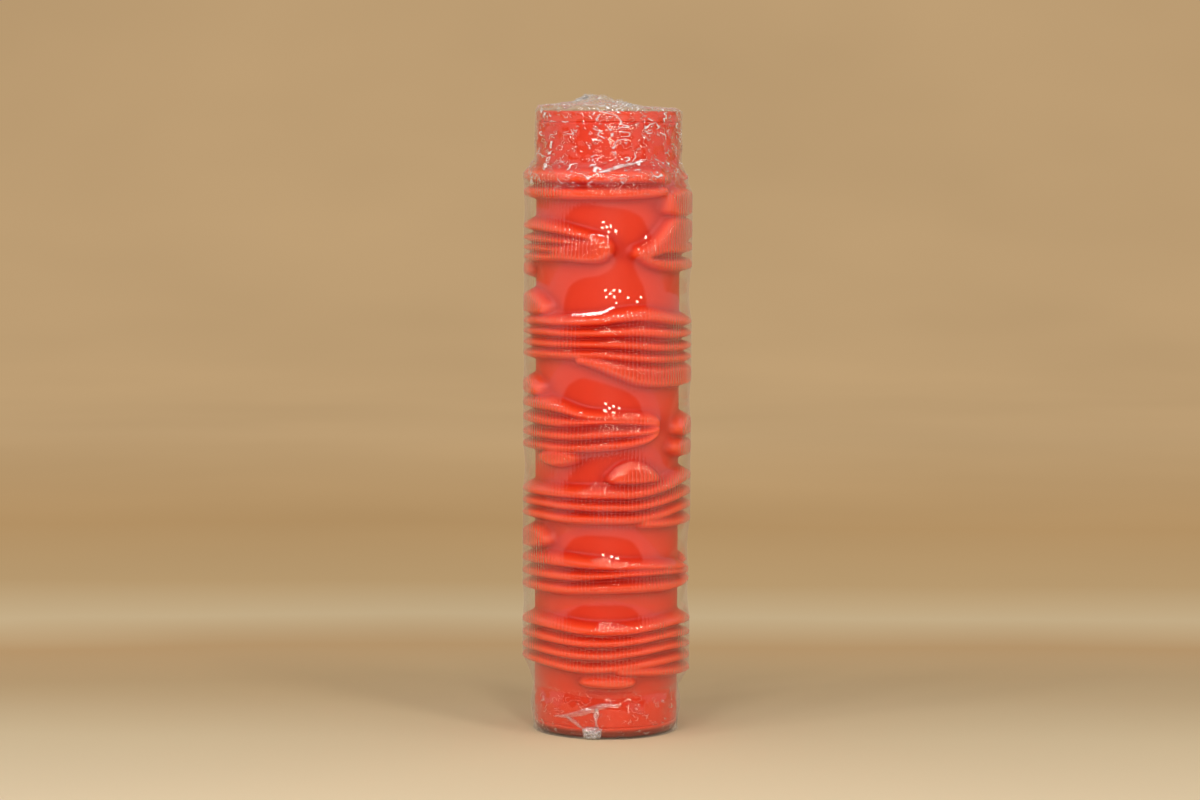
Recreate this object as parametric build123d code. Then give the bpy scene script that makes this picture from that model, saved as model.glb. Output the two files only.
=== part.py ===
from build123d import *
from math import ceil, cos, radians, sin
import os

# Clay texture roller, standing on one end and wrapped in clear shrink film.
# Millimetres, +Z up along the roller's axis, origin on that axis at the surface it stands on.
# Angles are degrees round the axis: 0 faces the front (-Y) and positive angles go to the right (+X).

# Driving dimensions of the roller
BODY_LENGTH = 180.0
SLEEVE_DIAMETER = 41.6
SLEEVE_WALL = 2.8
CORE_WALL = 2.0
EDGE_CHAMFER = 0.35

# Relief on the sleeve
RELIEF_HEIGHT = 3.6
ROOT_DEPTH = 0.8
UPPER_SLOPE_RUN = 2.4
LOWER_SLOPE_RUN = 1.0
GROOVE_DEPTH = 3.0
land_share = 0.48
groove_floor_top_share = 0.2
groove_floor_bottom_share = 0.7
groove_steep_share = 1.5
end_height_share = 0.6
SECTION_STEP_DEGREES = 8.0
END_STEP_DEGREES = 5.0
LEAST_SECTIONS = 4

# End caps, pressed into the core tube
CAP_FLANGE = 3.2
TOP_EDGE_FILLET = 0.8
FOOT_EDGE_FILLET = 2.2
SPIGOT_LENGTH = 12.0
SPIGOT_WALL = 1.8
HUB_LENGTH = 14.0
HUB_WALL = 2.4
RIB_THICKNESS = 1.6
RIB_SETBACK = 2.0
RIB_BITE = 0.5
RIB_COUNT = 6

# Plain bushes for a handle's axle rod
AXLE_DIAMETER = 12.0
AXLE_CLEARANCE = 0.1
BUSH_WALL = 1.9
BUSH_FLANGE_WIDTH = 2.4
BUSH_FLANGE_THICKNESS = 1.6
BUSH_RECESS = 0.2
BUSH_CHAMFER = 0.4
LIP_HEIGHT = 0.6
LIP_LENGTH = 2.0
SLOT_WIDTH = 1.2
SLOT_LENGTH = 6.0
SLOT_COUNT = 4
TURNING_CLEARANCE = 0.05
END_CLEARANCE = 0.1
FLANGE_CLEARANCE = 0.3

# Shrink film
FILM_THICKNESS = 0.2
FILM_CLEARANCE = 0.3
FILM_FOOT_BULGE = 1.2
FILM_FOOT_HEIGHT = 7.0
FILM_ANKLE_BULGE = 0.8
FILM_NECK_BULGE = 0.7
RUFFLE_RISE = 5.5
RUFFLE_SHOULDER = 1.8
RUFFLE_SHOULDER_INSET = 0.7
RUFFLE_OPENING_RADIUS = 7.0
BOTTOM_OPENING_RADIUS = 12.5
film_ankle_share = 0.068
film_foot_top_share = 0.086
film_neck_bottom_share = 0.910
film_neck_top_share = 0.935
film_collar_share = 0.972
ruffle_middle_share = 0.28
ruffle_middle_rise_share = 0.35

CUT_OVERRUN = 1.0

# Sizes worked out from the driving dimensions
base_radius = SLEEVE_DIAMETER / 2
crest_radius = base_radius + RELIEF_HEIGHT
root_radius = base_radius - ROOT_DEPTH
core_radius = base_radius - SLEEVE_WALL
core_bore_radius = core_radius - CORE_WALL
body_bottom = FILM_THICKNESS
body_top = body_bottom + BODY_LENGTH
sleeve_length = BODY_LENGTH - 2 * CAP_FLANGE
sleeve_bottom = body_bottom + CAP_FLANGE
bush_bore_radius = AXLE_DIAMETER / 2 + AXLE_CLEARANCE
bush_radius = bush_bore_radius + BUSH_WALL
bush_flange_radius = bush_radius + BUSH_FLANGE_WIDTH
hub_bore_radius = bush_radius + TURNING_CLEARANCE
hub_radius = hub_bore_radius + HUB_WALL
spigot_bore_radius = core_bore_radius - SPIGOT_WALL
rib_height = min(SPIGOT_LENGTH, HUB_LENGTH - CAP_FLANGE) - RIB_SETBACK
seat_radius = bush_flange_radius + FLANGE_CLEARANCE
seat_depth = BUSH_RECESS + BUSH_FLANGE_THICKNESS + END_CLEARANCE
lip_start = HUB_LENGTH + END_CLEARANCE
bush_end = lip_start + LIP_LENGTH
film_foot_radius = base_radius + FILM_CLEARANCE
film_radius = crest_radius + FILM_CLEARANCE

# Ridges that run side by side. Each row is an angle, then the height of each crest from the top one down,
# as shares of the roller's length.
top_pair_shares = [
    (-190, 0.881, 0.869),
    (-165, 0.896, 0.872),
    (-130, 0.902, 0.874),
    (-90, 0.896, 0.870),
    (-60, 0.895, 0.871),
    (-30, 0.895, 0.870),
    (0, 0.895, 0.870),
    (20, 0.895, 0.871),
    (35, 0.895, 0.872),
    (46, 0.893, 0.874),
]
top_pair_back_shares = [
    (104, 0.891, 0.880),
    (118, 0.900, 0.880),
    (140, 0.906, 0.883),
    (158, 0.899, 0.886),
]
left_hand_shares = [
    (-155, 0.804, 0.795, 0.786, 0.777),
    (-130, 0.814, 0.797, 0.780, 0.765),
    (-90, 0.816, 0.797, 0.781, 0.766),
    (-60, 0.816, 0.797, 0.782, 0.768),
    (-40, 0.812, 0.795, 0.781, 0.769),
    (-25, 0.806, 0.793, 0.782, 0.770),
    (-12, 0.800, 0.790, 0.781, 0.771),
    (-8, 0.797, 0.789, 0.781, 0.773),
]
right_hand_shares = [
    (26, 0.777, 0.768),
    (33, 0.780, 0.762),
    (40, 0.782, 0.759),
    (50, 0.783, 0.757),
    (60, 0.783, 0.756),
    (75, 0.783, 0.755),
    (90, 0.782, 0.755),
    (120, 0.784, 0.760),
    (150, 0.787, 0.769),
    (172, 0.789, 0.778),
]
middle_stack_shares = [
    (-172, 0.654, 0.645, 0.636, 0.626),
    (-150, 0.664, 0.648, 0.632, 0.617),
    (-120, 0.665, 0.648, 0.631, 0.613),
    (-90, 0.662, 0.646, 0.629, 0.611),
    (-60, 0.666, 0.649, 0.631, 0.614),
    (-40, 0.666, 0.649, 0.631, 0.615),
    (-20, 0.667, 0.649, 0.632, 0.616),
    (-5, 0.669, 0.650, 0.632, 0.616),
    (5, 0.673, 0.651, 0.632, 0.614),
    (20, 0.677, 0.652, 0.630, 0.611),
    (35, 0.675, 0.650, 0.627, 0.608),
    (50, 0.669, 0.647, 0.625, 0.607),
    (75, 0.664, 0.645, 0.624, 0.606),
    (90, 0.662, 0.644, 0.624, 0.606),
    (120, 0.667, 0.647, 0.623, 0.605),
    (150, 0.671, 0.649, 0.627, 0.609),
    (170, 0.661, 0.648, 0.635, 0.621),
]
left_stack_shares = [
    (-172, 0.517, 0.506, 0.496, 0.485),
    (-150, 0.529, 0.508, 0.489, 0.471),
    (-120, 0.533, 0.510, 0.485, 0.467),
    (-90, 0.531, 0.508, 0.484, 0.464),
    (-60, 0.533, 0.508, 0.485, 0.467),
    (-45, 0.532, 0.506, 0.485, 0.467),
    (-35, 0.528, 0.507, 0.485, 0.466),
    (-25, 0.522, 0.507, 0.485, 0.467),
    (-15, 0.518, 0.508, 0.487, 0.468),
    (0, 0.516, 0.509, 0.490, 0.471),
    (15, 0.515, 0.508, 0.491, 0.474),
    (33, 0.512, 0.505, 0.493, 0.481),
    (40, 0.508, 0.503, 0.496, 0.489),
]
back_pair_high_shares = [
    (118, 0.532, 0.522),
    (130, 0.539, 0.520),
    (150, 0.541, 0.521),
    (168, 0.537, 0.521),
    (178, 0.532, 0.524),
]
lower_stack_shares = [
    (-128, 0.386, 0.375, 0.365),
    (-112, 0.391, 0.373, 0.356),
    (-90, 0.391, 0.372, 0.353),
    (-60, 0.393, 0.375, 0.356),
    (-30, 0.393, 0.374, 0.354),
    (0, 0.393, 0.373, 0.354),
    (20, 0.393, 0.373, 0.354),
    (35, 0.397, 0.377, 0.357),
    (50, 0.404, 0.382, 0.362),
    (65, 0.411, 0.387, 0.367),
    (80, 0.414, 0.388, 0.367),
    (110, 0.411, 0.388, 0.367),
    (140, 0.405, 0.387, 0.370),
    (158, 0.398, 0.388, 0.378),
]
back_pair_low_shares = [
    (172, 0.398, 0.388),
    (185, 0.404, 0.386),
    (205, 0.403, 0.384),
    (220, 0.396, 0.386),
]
low_trio_shares = [
    (-172, 0.270, 0.260, 0.250),
    (-150, 0.278, 0.259, 0.240),
    (-120, 0.277, 0.257, 0.236),
    (-90, 0.278, 0.257, 0.236),
    (-60, 0.283, 0.261, 0.240),
    (-45, 0.284, 0.261, 0.240),
    (-30, 0.283, 0.261, 0.240),
    (-15, 0.281, 0.262, 0.242),
    (0, 0.279, 0.264, 0.243),
    (15, 0.278, 0.266, 0.244),
    (35, 0.276, 0.266, 0.244),
    (55, 0.272, 0.264, 0.243),
    (75, 0.268, 0.260, 0.245),
    (87, 0.262, 0.257, 0.250),
]
back_pair_last_shares = [
    (102, 0.269, 0.259),
    (115, 0.276, 0.258),
    (140, 0.280, 0.259),
    (165, 0.274, 0.257),
    (176, 0.268, 0.259),
]
bottom_stack_shares = [
    (-168, 0.163, 0.154, 0.146, 0.137),
    (-150, 0.171, 0.156, 0.139, 0.123),
    (-115, 0.175, 0.156, 0.137, 0.120),
    (-90, 0.178, 0.156, 0.136, 0.119),
    (-60, 0.182, 0.160, 0.139, 0.121),
    (-45, 0.181, 0.159, 0.138, 0.119),
    (-30, 0.178, 0.157, 0.136, 0.116),
    (-15, 0.175, 0.155, 0.135, 0.114),
    (0, 0.174, 0.155, 0.135, 0.115),
    (15, 0.175, 0.157, 0.138, 0.118),
    (30, 0.178, 0.160, 0.141, 0.121),
    (45, 0.181, 0.163, 0.144, 0.123),
    (60, 0.183, 0.163, 0.144, 0.124),
    (80, 0.181, 0.159, 0.140, 0.121),
    (110, 0.176, 0.155, 0.137, 0.120),
    (140, 0.174, 0.153, 0.136, 0.118),
    (165, 0.168, 0.152, 0.137, 0.121),
    (178, 0.161, 0.152, 0.143, 0.134),
]

# Single mounds with a flat top. Each row is an angle, then the heights of the top's upper and lower edges,
# as shares of the roller's length.
knob_top_right_shares = [
    (47, 0.866, 0.841),
    (55, 0.870, 0.837),
    (75, 0.871, 0.835),
    (100, 0.870, 0.837),
    (115, 0.863, 0.843),
]
left_palm_shares = [
    (-42, 0.782, 0.769),
    (-30, 0.785, 0.766),
    (-18, 0.788, 0.764),
    (-8, 0.790, 0.764),
    (-2, 0.788, 0.769),
]
left_fingertip_shares = [
    (-13, 0.801, 0.766),
    (-8, 0.801, 0.764),
    (-3, 0.798, 0.767),
    (0, 0.794, 0.771),
    (2, 0.789, 0.776),
]
right_arm_shares = [
    (21, 0.779, 0.771),
    (26, 0.782, 0.769),
    (31, 0.786, 0.770),
    (37, 0.797, 0.773),
    (44, 0.811, 0.777),
    (50, 0.823, 0.781),
    (56, 0.828, 0.786),
    (70, 0.827, 0.793),
    (90, 0.824, 0.797),
    (120, 0.822, 0.798),
    (150, 0.818, 0.798),
    (175, 0.812, 0.798),
    (190, 0.807, 0.799),
]
block_left_shares = [
    (-138, 0.754, 0.739),
    (-115, 0.758, 0.734),
    (-95, 0.757, 0.736),
    (-86, 0.752, 0.742),
]
wedge_left_shares = [
    (-125, 0.696, 0.683),
    (-110, 0.703, 0.678),
    (-90, 0.707, 0.677),
    (-70, 0.707, 0.678),
    (-58, 0.700, 0.679),
    (-50, 0.691, 0.680),
]
shelf_right_shares = [
    (-22, 0.608, 0.604),
    (-10, 0.608, 0.597),
    (5, 0.600, 0.584),
    (20, 0.595, 0.571),
    (40, 0.591, 0.566),
    (60, 0.591, 0.565),
    (90, 0.590, 0.565),
    (120, 0.588, 0.570),
    (140, 0.586, 0.577),
]
knob_left_high_shares = [
    (-125, 0.562, 0.553),
    (-110, 0.568, 0.549),
    (-90, 0.569, 0.548),
    (-68, 0.568, 0.548),
    (-58, 0.561, 0.550),
]
lens_left_shares = [
    (-56, 0.452, 0.446),
    (-48, 0.457, 0.440),
    (-35, 0.458, 0.439),
    (-23, 0.453, 0.446),
]
swell_upper_shares = [
    (62, 0.497, 0.488),
    (72, 0.504, 0.483),
    (90, 0.508, 0.481),
    (115, 0.507, 0.483),
    (135, 0.501, 0.490),
]
swell_lower_shares = [
    (58, 0.466, 0.458),
    (66, 0.470, 0.452),
    (85, 0.471, 0.449),
    (110, 0.470, 0.451),
    (130, 0.467, 0.456),
]
lens_middle_shares = [
    (3, 0.420, 0.414),
    (9, 0.432, 0.413),
    (20, 0.439, 0.412),
    (31, 0.433, 0.413),
    (39, 0.421, 0.414),
]
ridge_low_right_shares = [
    (26, 0.348, 0.343),
    (40, 0.348, 0.341),
    (60, 0.348, 0.340),
    (85, 0.347, 0.339),
    (115, 0.348, 0.340),
    (135, 0.346, 0.342),
]
knob_left_low_shares = [
    (-118, 0.316, 0.303),
    (-105, 0.322, 0.298),
    (-90, 0.326, 0.298),
    (-75, 0.329, 0.301),
    (-58, 0.329, 0.306),
    (-49, 0.319, 0.311),
]
ridge_bottom_right_shares = [
    (8, 0.110, 0.106),
    (20, 0.112, 0.105),
    (45, 0.109, 0.101),
    (70, 0.106, 0.097),
    (90, 0.104, 0.095),
    (115, 0.105, 0.097),
    (135, 0.105, 0.100),
]
lens_bottom_shares = [
    (-17, 0.094, 0.089),
    (-8, 0.097, 0.087),
    (2, 0.098, 0.086),
    (12, 0.097, 0.086),
    (20, 0.094, 0.089),
]
back_knob_high_shares = [
    (134, 0.718, 0.703),
    (146, 0.724, 0.697),
    (162, 0.723, 0.698),
    (174, 0.716, 0.704),
]
back_knob_middle_shares = [
    (-166, 0.579, 0.564),
    (-154, 0.584, 0.559),
    (-142, 0.580, 0.563),
]
back_knob_low_shares = [
    (140, 0.328, 0.316),
    (152, 0.333, 0.310),
    (170, 0.331, 0.311),
    (182, 0.324, 0.316),
]

ridge_groups = [
    top_pair_shares,
    top_pair_back_shares,
    left_hand_shares,
    right_hand_shares,
    middle_stack_shares,
    left_stack_shares,
    back_pair_high_shares,
    lower_stack_shares,
    back_pair_low_shares,
    low_trio_shares,
    back_pair_last_shares,
    bottom_stack_shares,
]
mounds = [
    knob_top_right_shares,
    left_palm_shares,
    left_fingertip_shares,
    right_arm_shares,
    block_left_shares,
    wedge_left_shares,
    shelf_right_shares,
    knob_left_high_shares,
    lens_left_shares,
    swell_upper_shares,
    swell_lower_shares,
    lens_middle_shares,
    ridge_low_right_shares,
    knob_left_low_shares,
    ridge_bottom_right_shares,
    lens_bottom_shares,
    back_knob_high_shares,
    back_knob_middle_shares,
    back_knob_low_shares,
]


def ring(outer, inner, length, bottom):
    """A tube along the axis."""
    wall = Cylinder(outer, length, align=(Align.CENTER, Align.CENTER, Align.MIN))
    wall -= Cylinder(inner, length + 2 * CUT_OVERRUN).moved(Location((0, 0, length / 2)))
    return wall.moved(Location((0, 0, bottom)))


def turned(points):
    """A solid of revolution from (radius, height) points."""
    outline = make_face(Polyline([(radius, 0, height) for radius, height in points], close=True))
    return revolve(outline, Axis.Z, 360)


def heights_at(rows, angle):
    """The heights at one angle, on a smooth curve through the rows."""
    last = len(rows) - 1
    index = max(i for i in range(last) if rows[i][0] <= angle or i == 0)
    before, start, end, after = (rows[min(max(index + k, 0), last)] for k in (-1, 0, 1, 2))
    span = end[0] - start[0]
    t = (angle - start[0]) / span
    heights = []
    for column in range(1, len(start)):
        slope_start = (end[column] - before[column]) / (end[0] - before[0]) * span
        slope_end = (after[column] - start[column]) / (after[0] - start[0]) * span
        value = (2 * t**3 - 3 * t**2 + 1) * start[column] + (t**3 - 2 * t**2 + t) * slope_start
        value += (3 * t**2 - 2 * t**3) * end[column] + (t**3 - t**2) * slope_end
        heights.append(body_bottom + value * BODY_LENGTH)
    return heights


def crest_lands(crests):
    """The flat top of each ridge, as (upper, lower) heights: a share of the distance to its nearest neighbour."""
    gaps = [upper - lower for upper, lower in zip(crests, crests[1:])]
    lands = []
    for index, crest in enumerate(crests):
        half = min(gaps[max(index - 1, 0):index + 1]) * land_share / 2
        lands.append((crest + half, crest - half))
    return lands


def relief_profile(lands):
    """(radius, height) points across the ridges, from the foot of the upper slope to that of the lower one."""
    points = [(root_radius, lands[0][0] + UPPER_SLOPE_RUN)]
    for index, (upper, lower) in enumerate(lands):
        points += [(crest_radius, upper), (crest_radius, lower)]
        if index + 1 < len(lands):
            width = lower - lands[index + 1][0]
            floor_radius = crest_radius - min(GROOVE_DEPTH, width * groove_steep_share)
            points.append((floor_radius, lower - width * groove_floor_top_share))
            points.append((floor_radius, lower - width * groove_floor_bottom_share))
    points.append((root_radius, lands[-1][1] - LOWER_SLOPE_RUN))
    return points


def end_profile(points):
    """The profile at the end of a group of ridges: sunk into the sleeve and drawn in towards its middle."""
    middle = (points[0][1] + points[-1][1]) / 2
    sunk_radius = base_radius - ROOT_DEPTH / 2
    drawn_in = [(root_radius, points[0][1])] + [(sunk_radius, height) for _, height in points[1:-1]]
    drawn_in.append((root_radius, points[-1][1]))
    return [(radius, middle + (height - middle) * end_height_share) for radius, height in drawn_in]


def wire_at(points, angle):
    """A closed outline in the plane through the axis at one angle."""
    turn = radians(angle)
    corners = [Vector(radius * sin(turn), -radius * cos(turn), height) for radius, height in points]
    return Wire.make_polygon(corners, close=True)


def relief_solid(rows, lands_of):
    """Ridges or a mound as one ruled solid through sections every few degrees."""
    first, last = rows[0][0], rows[-1][0]
    steps = max(LEAST_SECTIONS, ceil((last - first) / SECTION_STEP_DEGREES))
    angles = [first + (last - first) * k / steps for k in range(steps + 1)]
    profiles = [relief_profile(lands_of(heights_at(rows, angle))) for angle in angles]
    wires = [wire_at(end_profile(profiles[0]), first - END_STEP_DEGREES)]
    wires += [wire_at(profile, angle) for profile, angle in zip(profiles, angles)]
    wires.append(wire_at(end_profile(profiles[-1]), last + END_STEP_DEGREES))
    return Solid.make_loft(wires, ruled=True)


def texture_sleeve():
    """Moulded sleeve: a plain tube with bevelled ends and the bark relief standing on it."""
    tube = ring(base_radius, core_radius, sleeve_length, sleeve_bottom)
    rims = tube.edges().filter_by(GeomType.CIRCLE).sort_by(SortBy.RADIUS)[-2:]
    tube = chamfer(rims, EDGE_CHAMFER)
    relief = [relief_solid(rows, crest_lands) for rows in ridge_groups]
    relief += [relief_solid(rows, lambda edges: [tuple(edges)]) for rows in mounds]
    return tube.fuse(*relief)


def core_tube():
    """Rigid tube that the sleeve is pushed over and the caps are pressed into."""
    return ring(core_radius, core_bore_radius, sleeve_length, sleeve_bottom)


def end_cap(edge_fillet):
    """Cap for the lower end, outer face down at height zero: flange, spigot, hub and ribs in one moulding."""
    flange = ring(base_radius, hub_bore_radius, CAP_FLANGE, 0)
    outer_rims = flange.edges().filter_by(GeomType.CIRCLE).sort_by(SortBy.RADIUS)[-2:].sort_by(Axis.Z)
    flange = fillet(outer_rims[0], edge_fillet)
    inner_rims = flange.edges().filter_by(GeomType.CIRCLE).sort_by(Axis.Z)
    inner_rim = [edge for edge in inner_rims if edge.radius > core_radius][-1]
    flange = chamfer(inner_rim, EDGE_CHAMFER)
    spigot = ring(core_bore_radius, spigot_bore_radius, SPIGOT_LENGTH, CAP_FLANGE)
    hub = ring(hub_radius, hub_bore_radius, HUB_LENGTH, 0)
    cap = flange + spigot + hub
    rib_length = spigot_bore_radius - hub_radius + 2 * RIB_BITE
    rib = Box(rib_length, RIB_THICKNESS, rib_height, align=(Align.MIN, Align.CENTER, Align.MIN))
    rib = rib.moved(Location((hub_radius - RIB_BITE, 0, CAP_FLANGE)))
    for number in range(RIB_COUNT):
        cap += rib.moved(Location((0, 0, 0), (0, 0, 360 * number / RIB_COUNT)))
    return cap - Cylinder(seat_radius, seat_depth, align=(Align.CENTER, Align.CENTER, Align.MIN))


def axle_bush():
    """Plain flanged bush for the lower end, held in the hub by a split lip at its inner end."""
    bush = turned([
        (bush_bore_radius, BUSH_RECESS),
        (bush_flange_radius - BUSH_CHAMFER, BUSH_RECESS),
        (bush_flange_radius, BUSH_RECESS + BUSH_CHAMFER),
        (bush_flange_radius, BUSH_RECESS + BUSH_FLANGE_THICKNESS),
        (bush_radius, BUSH_RECESS + BUSH_FLANGE_THICKNESS),
        (bush_radius, lip_start),
        (bush_radius + LIP_HEIGHT, lip_start),
        (bush_radius, bush_end),
        (bush_bore_radius, bush_end),
    ])
    slot_reach = bush_radius + LIP_HEIGHT + CUT_OVERRUN
    slot = Box(slot_reach, SLOT_WIDTH, SLOT_LENGTH, align=(Align.MIN, Align.CENTER, Align.MAX))
    slot = slot.moved(Location((0, 0, bush_end)))
    for number in range(SLOT_COUNT):
        bush -= slot.moved(Location((0, 0, 0), (0, 0, 360 * number / SLOT_COUNT)))
    return bush


def at_bottom(piece):
    """A lower-end piece at its place on the body."""
    return piece.moved(Location((0, 0, body_bottom)))


def at_top(piece):
    """A lower-end piece turned over for the upper end."""
    return piece.moved(Location((0, 0, body_top), (180, 0, 0)))


def film_side():
    """Shrink film round the side: close over the caps, stretched from crest to crest over the relief."""
    inner = [
        (film_foot_radius, body_bottom),
        (film_foot_radius + FILM_FOOT_BULGE, body_bottom + FILM_FOOT_HEIGHT),
        (film_foot_radius + FILM_ANKLE_BULGE, body_bottom + BODY_LENGTH * film_ankle_share),
        (film_radius, body_bottom + BODY_LENGTH * film_foot_top_share),
        (film_radius, body_bottom + BODY_LENGTH * film_neck_bottom_share),
        (film_foot_radius + FILM_NECK_BULGE, body_bottom + BODY_LENGTH * film_neck_top_share),
        (film_foot_radius, body_bottom + BODY_LENGTH * film_collar_share),
        (film_foot_radius, body_top),
    ]
    outer = [(radius + FILM_THICKNESS, height) for radius, height in inner]
    return turned(inner + outer[::-1])


def film_bottom_hem():
    """The film's lower end, shrunk in flat under the lower cap."""
    return ring(film_foot_radius + FILM_THICKNESS, BOTTOM_OPENING_RADIUS, FILM_THICKNESS, 0)


def film_top_ruffle():
    """The film's upper end, drawn in over the upper cap and standing up towards its opening."""
    rim_radius = film_foot_radius + FILM_THICKNESS
    shoulder_radius = rim_radius - RUFFLE_SHOULDER_INSET
    middle_radius = RUFFLE_OPENING_RADIUS + (shoulder_radius - RUFFLE_OPENING_RADIUS) * ruffle_middle_share
    middle_rise = RUFFLE_SHOULDER + (RUFFLE_RISE - RUFFLE_SHOULDER) * ruffle_middle_rise_share
    outer = [
        (rim_radius, body_top),
        (shoulder_radius, body_top + RUFFLE_SHOULDER),
        (middle_radius, body_top + middle_rise),
        (RUFFLE_OPENING_RADIUS, body_top + RUFFLE_RISE),
    ]
    inner = [(film_foot_radius, body_top)]
    inner += [(radius - FILM_THICKNESS / 2, height - FILM_THICKNESS) for radius, height in outer[1:3]]
    inner.append((RUFFLE_OPENING_RADIUS, body_top + RUFFLE_RISE - FILM_THICKNESS))
    return turned(outer + inner[::-1])


nodes = {
    "texture_sleeve": texture_sleeve(),
    "core_tube": core_tube(),
    "top_end_cap": at_top(end_cap(TOP_EDGE_FILLET)),
    "bottom_end_cap": at_bottom(end_cap(FOOT_EDGE_FILLET)),
    "top_axle_bush": at_top(axle_bush()),
    "bottom_axle_bush": at_bottom(axle_bush()),
    "film_side": film_side(),
    "film_top_ruffle": film_top_ruffle(),
    "film_bottom_hem": film_bottom_hem(),
}
os.makedirs("parts", exist_ok=True)
for node, solid in nodes.items():
    export_step(solid, f"parts/{node}.step")
    print(node, round(solid.volume))
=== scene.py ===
# %% [markdown]
# # A clay texture roller in shrink film
# A potter rolls this tool over wet clay to print bark-like ridges into it. It is a hollow orange-red roller,
# new from the shop: it stands on one end, with clear film shrunk round it. The lesson builds what the eye
# sees of it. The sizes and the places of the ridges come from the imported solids, and all is in metres.

# %% The frame
import bpy
import math
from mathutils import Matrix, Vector


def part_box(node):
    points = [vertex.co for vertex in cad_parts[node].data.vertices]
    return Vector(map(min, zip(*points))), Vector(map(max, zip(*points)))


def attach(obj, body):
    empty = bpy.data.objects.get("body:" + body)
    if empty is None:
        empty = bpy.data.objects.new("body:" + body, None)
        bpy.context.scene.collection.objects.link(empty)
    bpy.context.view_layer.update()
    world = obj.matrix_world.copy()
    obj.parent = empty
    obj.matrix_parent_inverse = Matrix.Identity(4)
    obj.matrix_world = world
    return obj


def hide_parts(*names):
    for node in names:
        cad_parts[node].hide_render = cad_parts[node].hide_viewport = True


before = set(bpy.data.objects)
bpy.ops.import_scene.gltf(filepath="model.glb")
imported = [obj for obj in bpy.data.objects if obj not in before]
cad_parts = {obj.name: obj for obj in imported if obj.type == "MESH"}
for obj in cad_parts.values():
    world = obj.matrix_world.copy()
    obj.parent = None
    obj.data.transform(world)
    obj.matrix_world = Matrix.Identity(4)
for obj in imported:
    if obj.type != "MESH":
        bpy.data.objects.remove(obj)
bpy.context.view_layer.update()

MM = 0.001

# %% [markdown]
# ## Sizes read from the solids
# Nothing is measured twice. The sleeve's box gives the crest of the ridges, the caps give the plain cylinder
# under them, and the film's three solids give the room that the film may fill.

# %% Sizes
def box_top(node):
    """Highest corner of a CAD node."""
    return Vector(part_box(node)[1])


sleeve_low, sleeve_high = (Vector(corner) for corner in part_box("texture_sleeve"))
CREST = sleeve_high.x
BASE = box_top("top_end_cap").x
CORE = box_top("core_tube").x
FILM_OUT = box_top("film_side").x
RIM = box_top("film_bottom_hem").x
BODY_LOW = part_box("film_side")[0][2]
BODY_HIGH = box_top("film_side").z
RUFFLE_TOP = box_top("film_top_ruffle").z
print("base, crest, film in mm:", [round(v / MM, 2) for v in (BASE, CREST, FILM_OUT)])

# %% [markdown]
# ## Helpers
# Colours are written as sRGB hex, as a paint program shows them, and turned to the linear values that a
# shader wants. One helper adds any node to any tree: settings by name, and each input either a plain value or
# a link. The others start a material, give a ramp its stops, cloud a colour, and put things in the scene.

# %% Colour and node helpers
CLOUD_LOW, CLOUD_HIGH = 0.3, 0.7


def linear(hex_colour):
    """An sRGB hex colour as linear RGBA."""
    channels = [int(hex_colour[i:i + 2], 16) / 255 for i in (1, 3, 5)]
    bent = [c / 12.92 if c <= 0.04045 else ((c + 0.055) / 1.055) ** 2.4 for c in channels]
    return (*bent, 1.0)


def add(tree, kind, inputs=(), **settings):
    """Adds a node, sets its settings, and gives each input, in order or by name, a value or a link. A node
    that is given as a value stands for its first output."""
    node = tree.nodes.new(kind)
    for name, value in settings.items():
        setattr(node, name, value)
    for key, value in inputs.items() if isinstance(inputs, dict) else enumerate(inputs):
        if isinstance(value, bpy.types.Node):
            value = value.outputs[0]
        if isinstance(value, bpy.types.NodeSocket):
            tree.links.new(value, node.inputs[key])
        else:
            node.inputs[key].default_value = value
    return node


def new_material(name):
    """An empty material and its tree."""
    material = bpy.data.materials.new(name)
    material.use_nodes = True
    tree = material.node_tree
    tree.nodes.clear()
    return material, tree


def set_stops(ramp, colours):
    """Gives a colour ramp a stop at each position of a table of hex colours."""
    stops = ramp.color_ramp.elements
    while len(stops) < len(colours):
        stops.new(0.5)
    for stop, (position, colour) in zip(stops, colours.items()):
        stop.position = position
        stop.color = linear(colour)


def clouded(tree, colour, cloud, darkest, palest):
    """A colour that a noise makes darker in some clouds and paler in others."""
    shade = add(tree, "ShaderNodeMapRange", {
        "Value": cloud, "From Min": CLOUD_LOW, "From Max": CLOUD_HIGH, "To Min": darkest, "To Max": palest})
    return add(tree, "ShaderNodeVectorMath", {0: colour, "Scale": shade}, operation="SCALE")


def in_scene(name, data):
    """Puts a camera, a lamp or a mesh in the scene."""
    obj = bpy.data.objects.new(name, data)
    bpy.context.scene.collection.objects.link(obj)
    return obj


def smooth_mesh(name, verts, faces):
    """A smooth mesh in the scene, made from its points and faces."""
    mesh = bpy.data.meshes.new(name)
    mesh.from_pydata(verts, [], faces)
    mesh.shade_smooth()
    return in_scene(name, mesh)


print("middle grey in linear light:", round(linear("#808080")[0], 3))

# %% [markdown]
# ## The camera
# It stands a metre away at the height of the roller's upper end, and looks down a little, so the top shows as
# a line and the foot as a curve. Its focal length comes from the photograph's scale in pixels per millimetre,
# and its tilt and turn from the row of the roller's top edge and the column of its axis.

# %% Camera
IMAGE_WIDTH = 1200
IMAGE_HEIGHT = 800
TOP_ROW = 104.6
AXIS_COLUMN = 608.6
CAMERA_DISTANCE = 0.990
CAMERA_HEIGHT = 0.182
PIXELS_PER_MM = 3.4465
ROLL = math.radians(-0.28)

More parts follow.
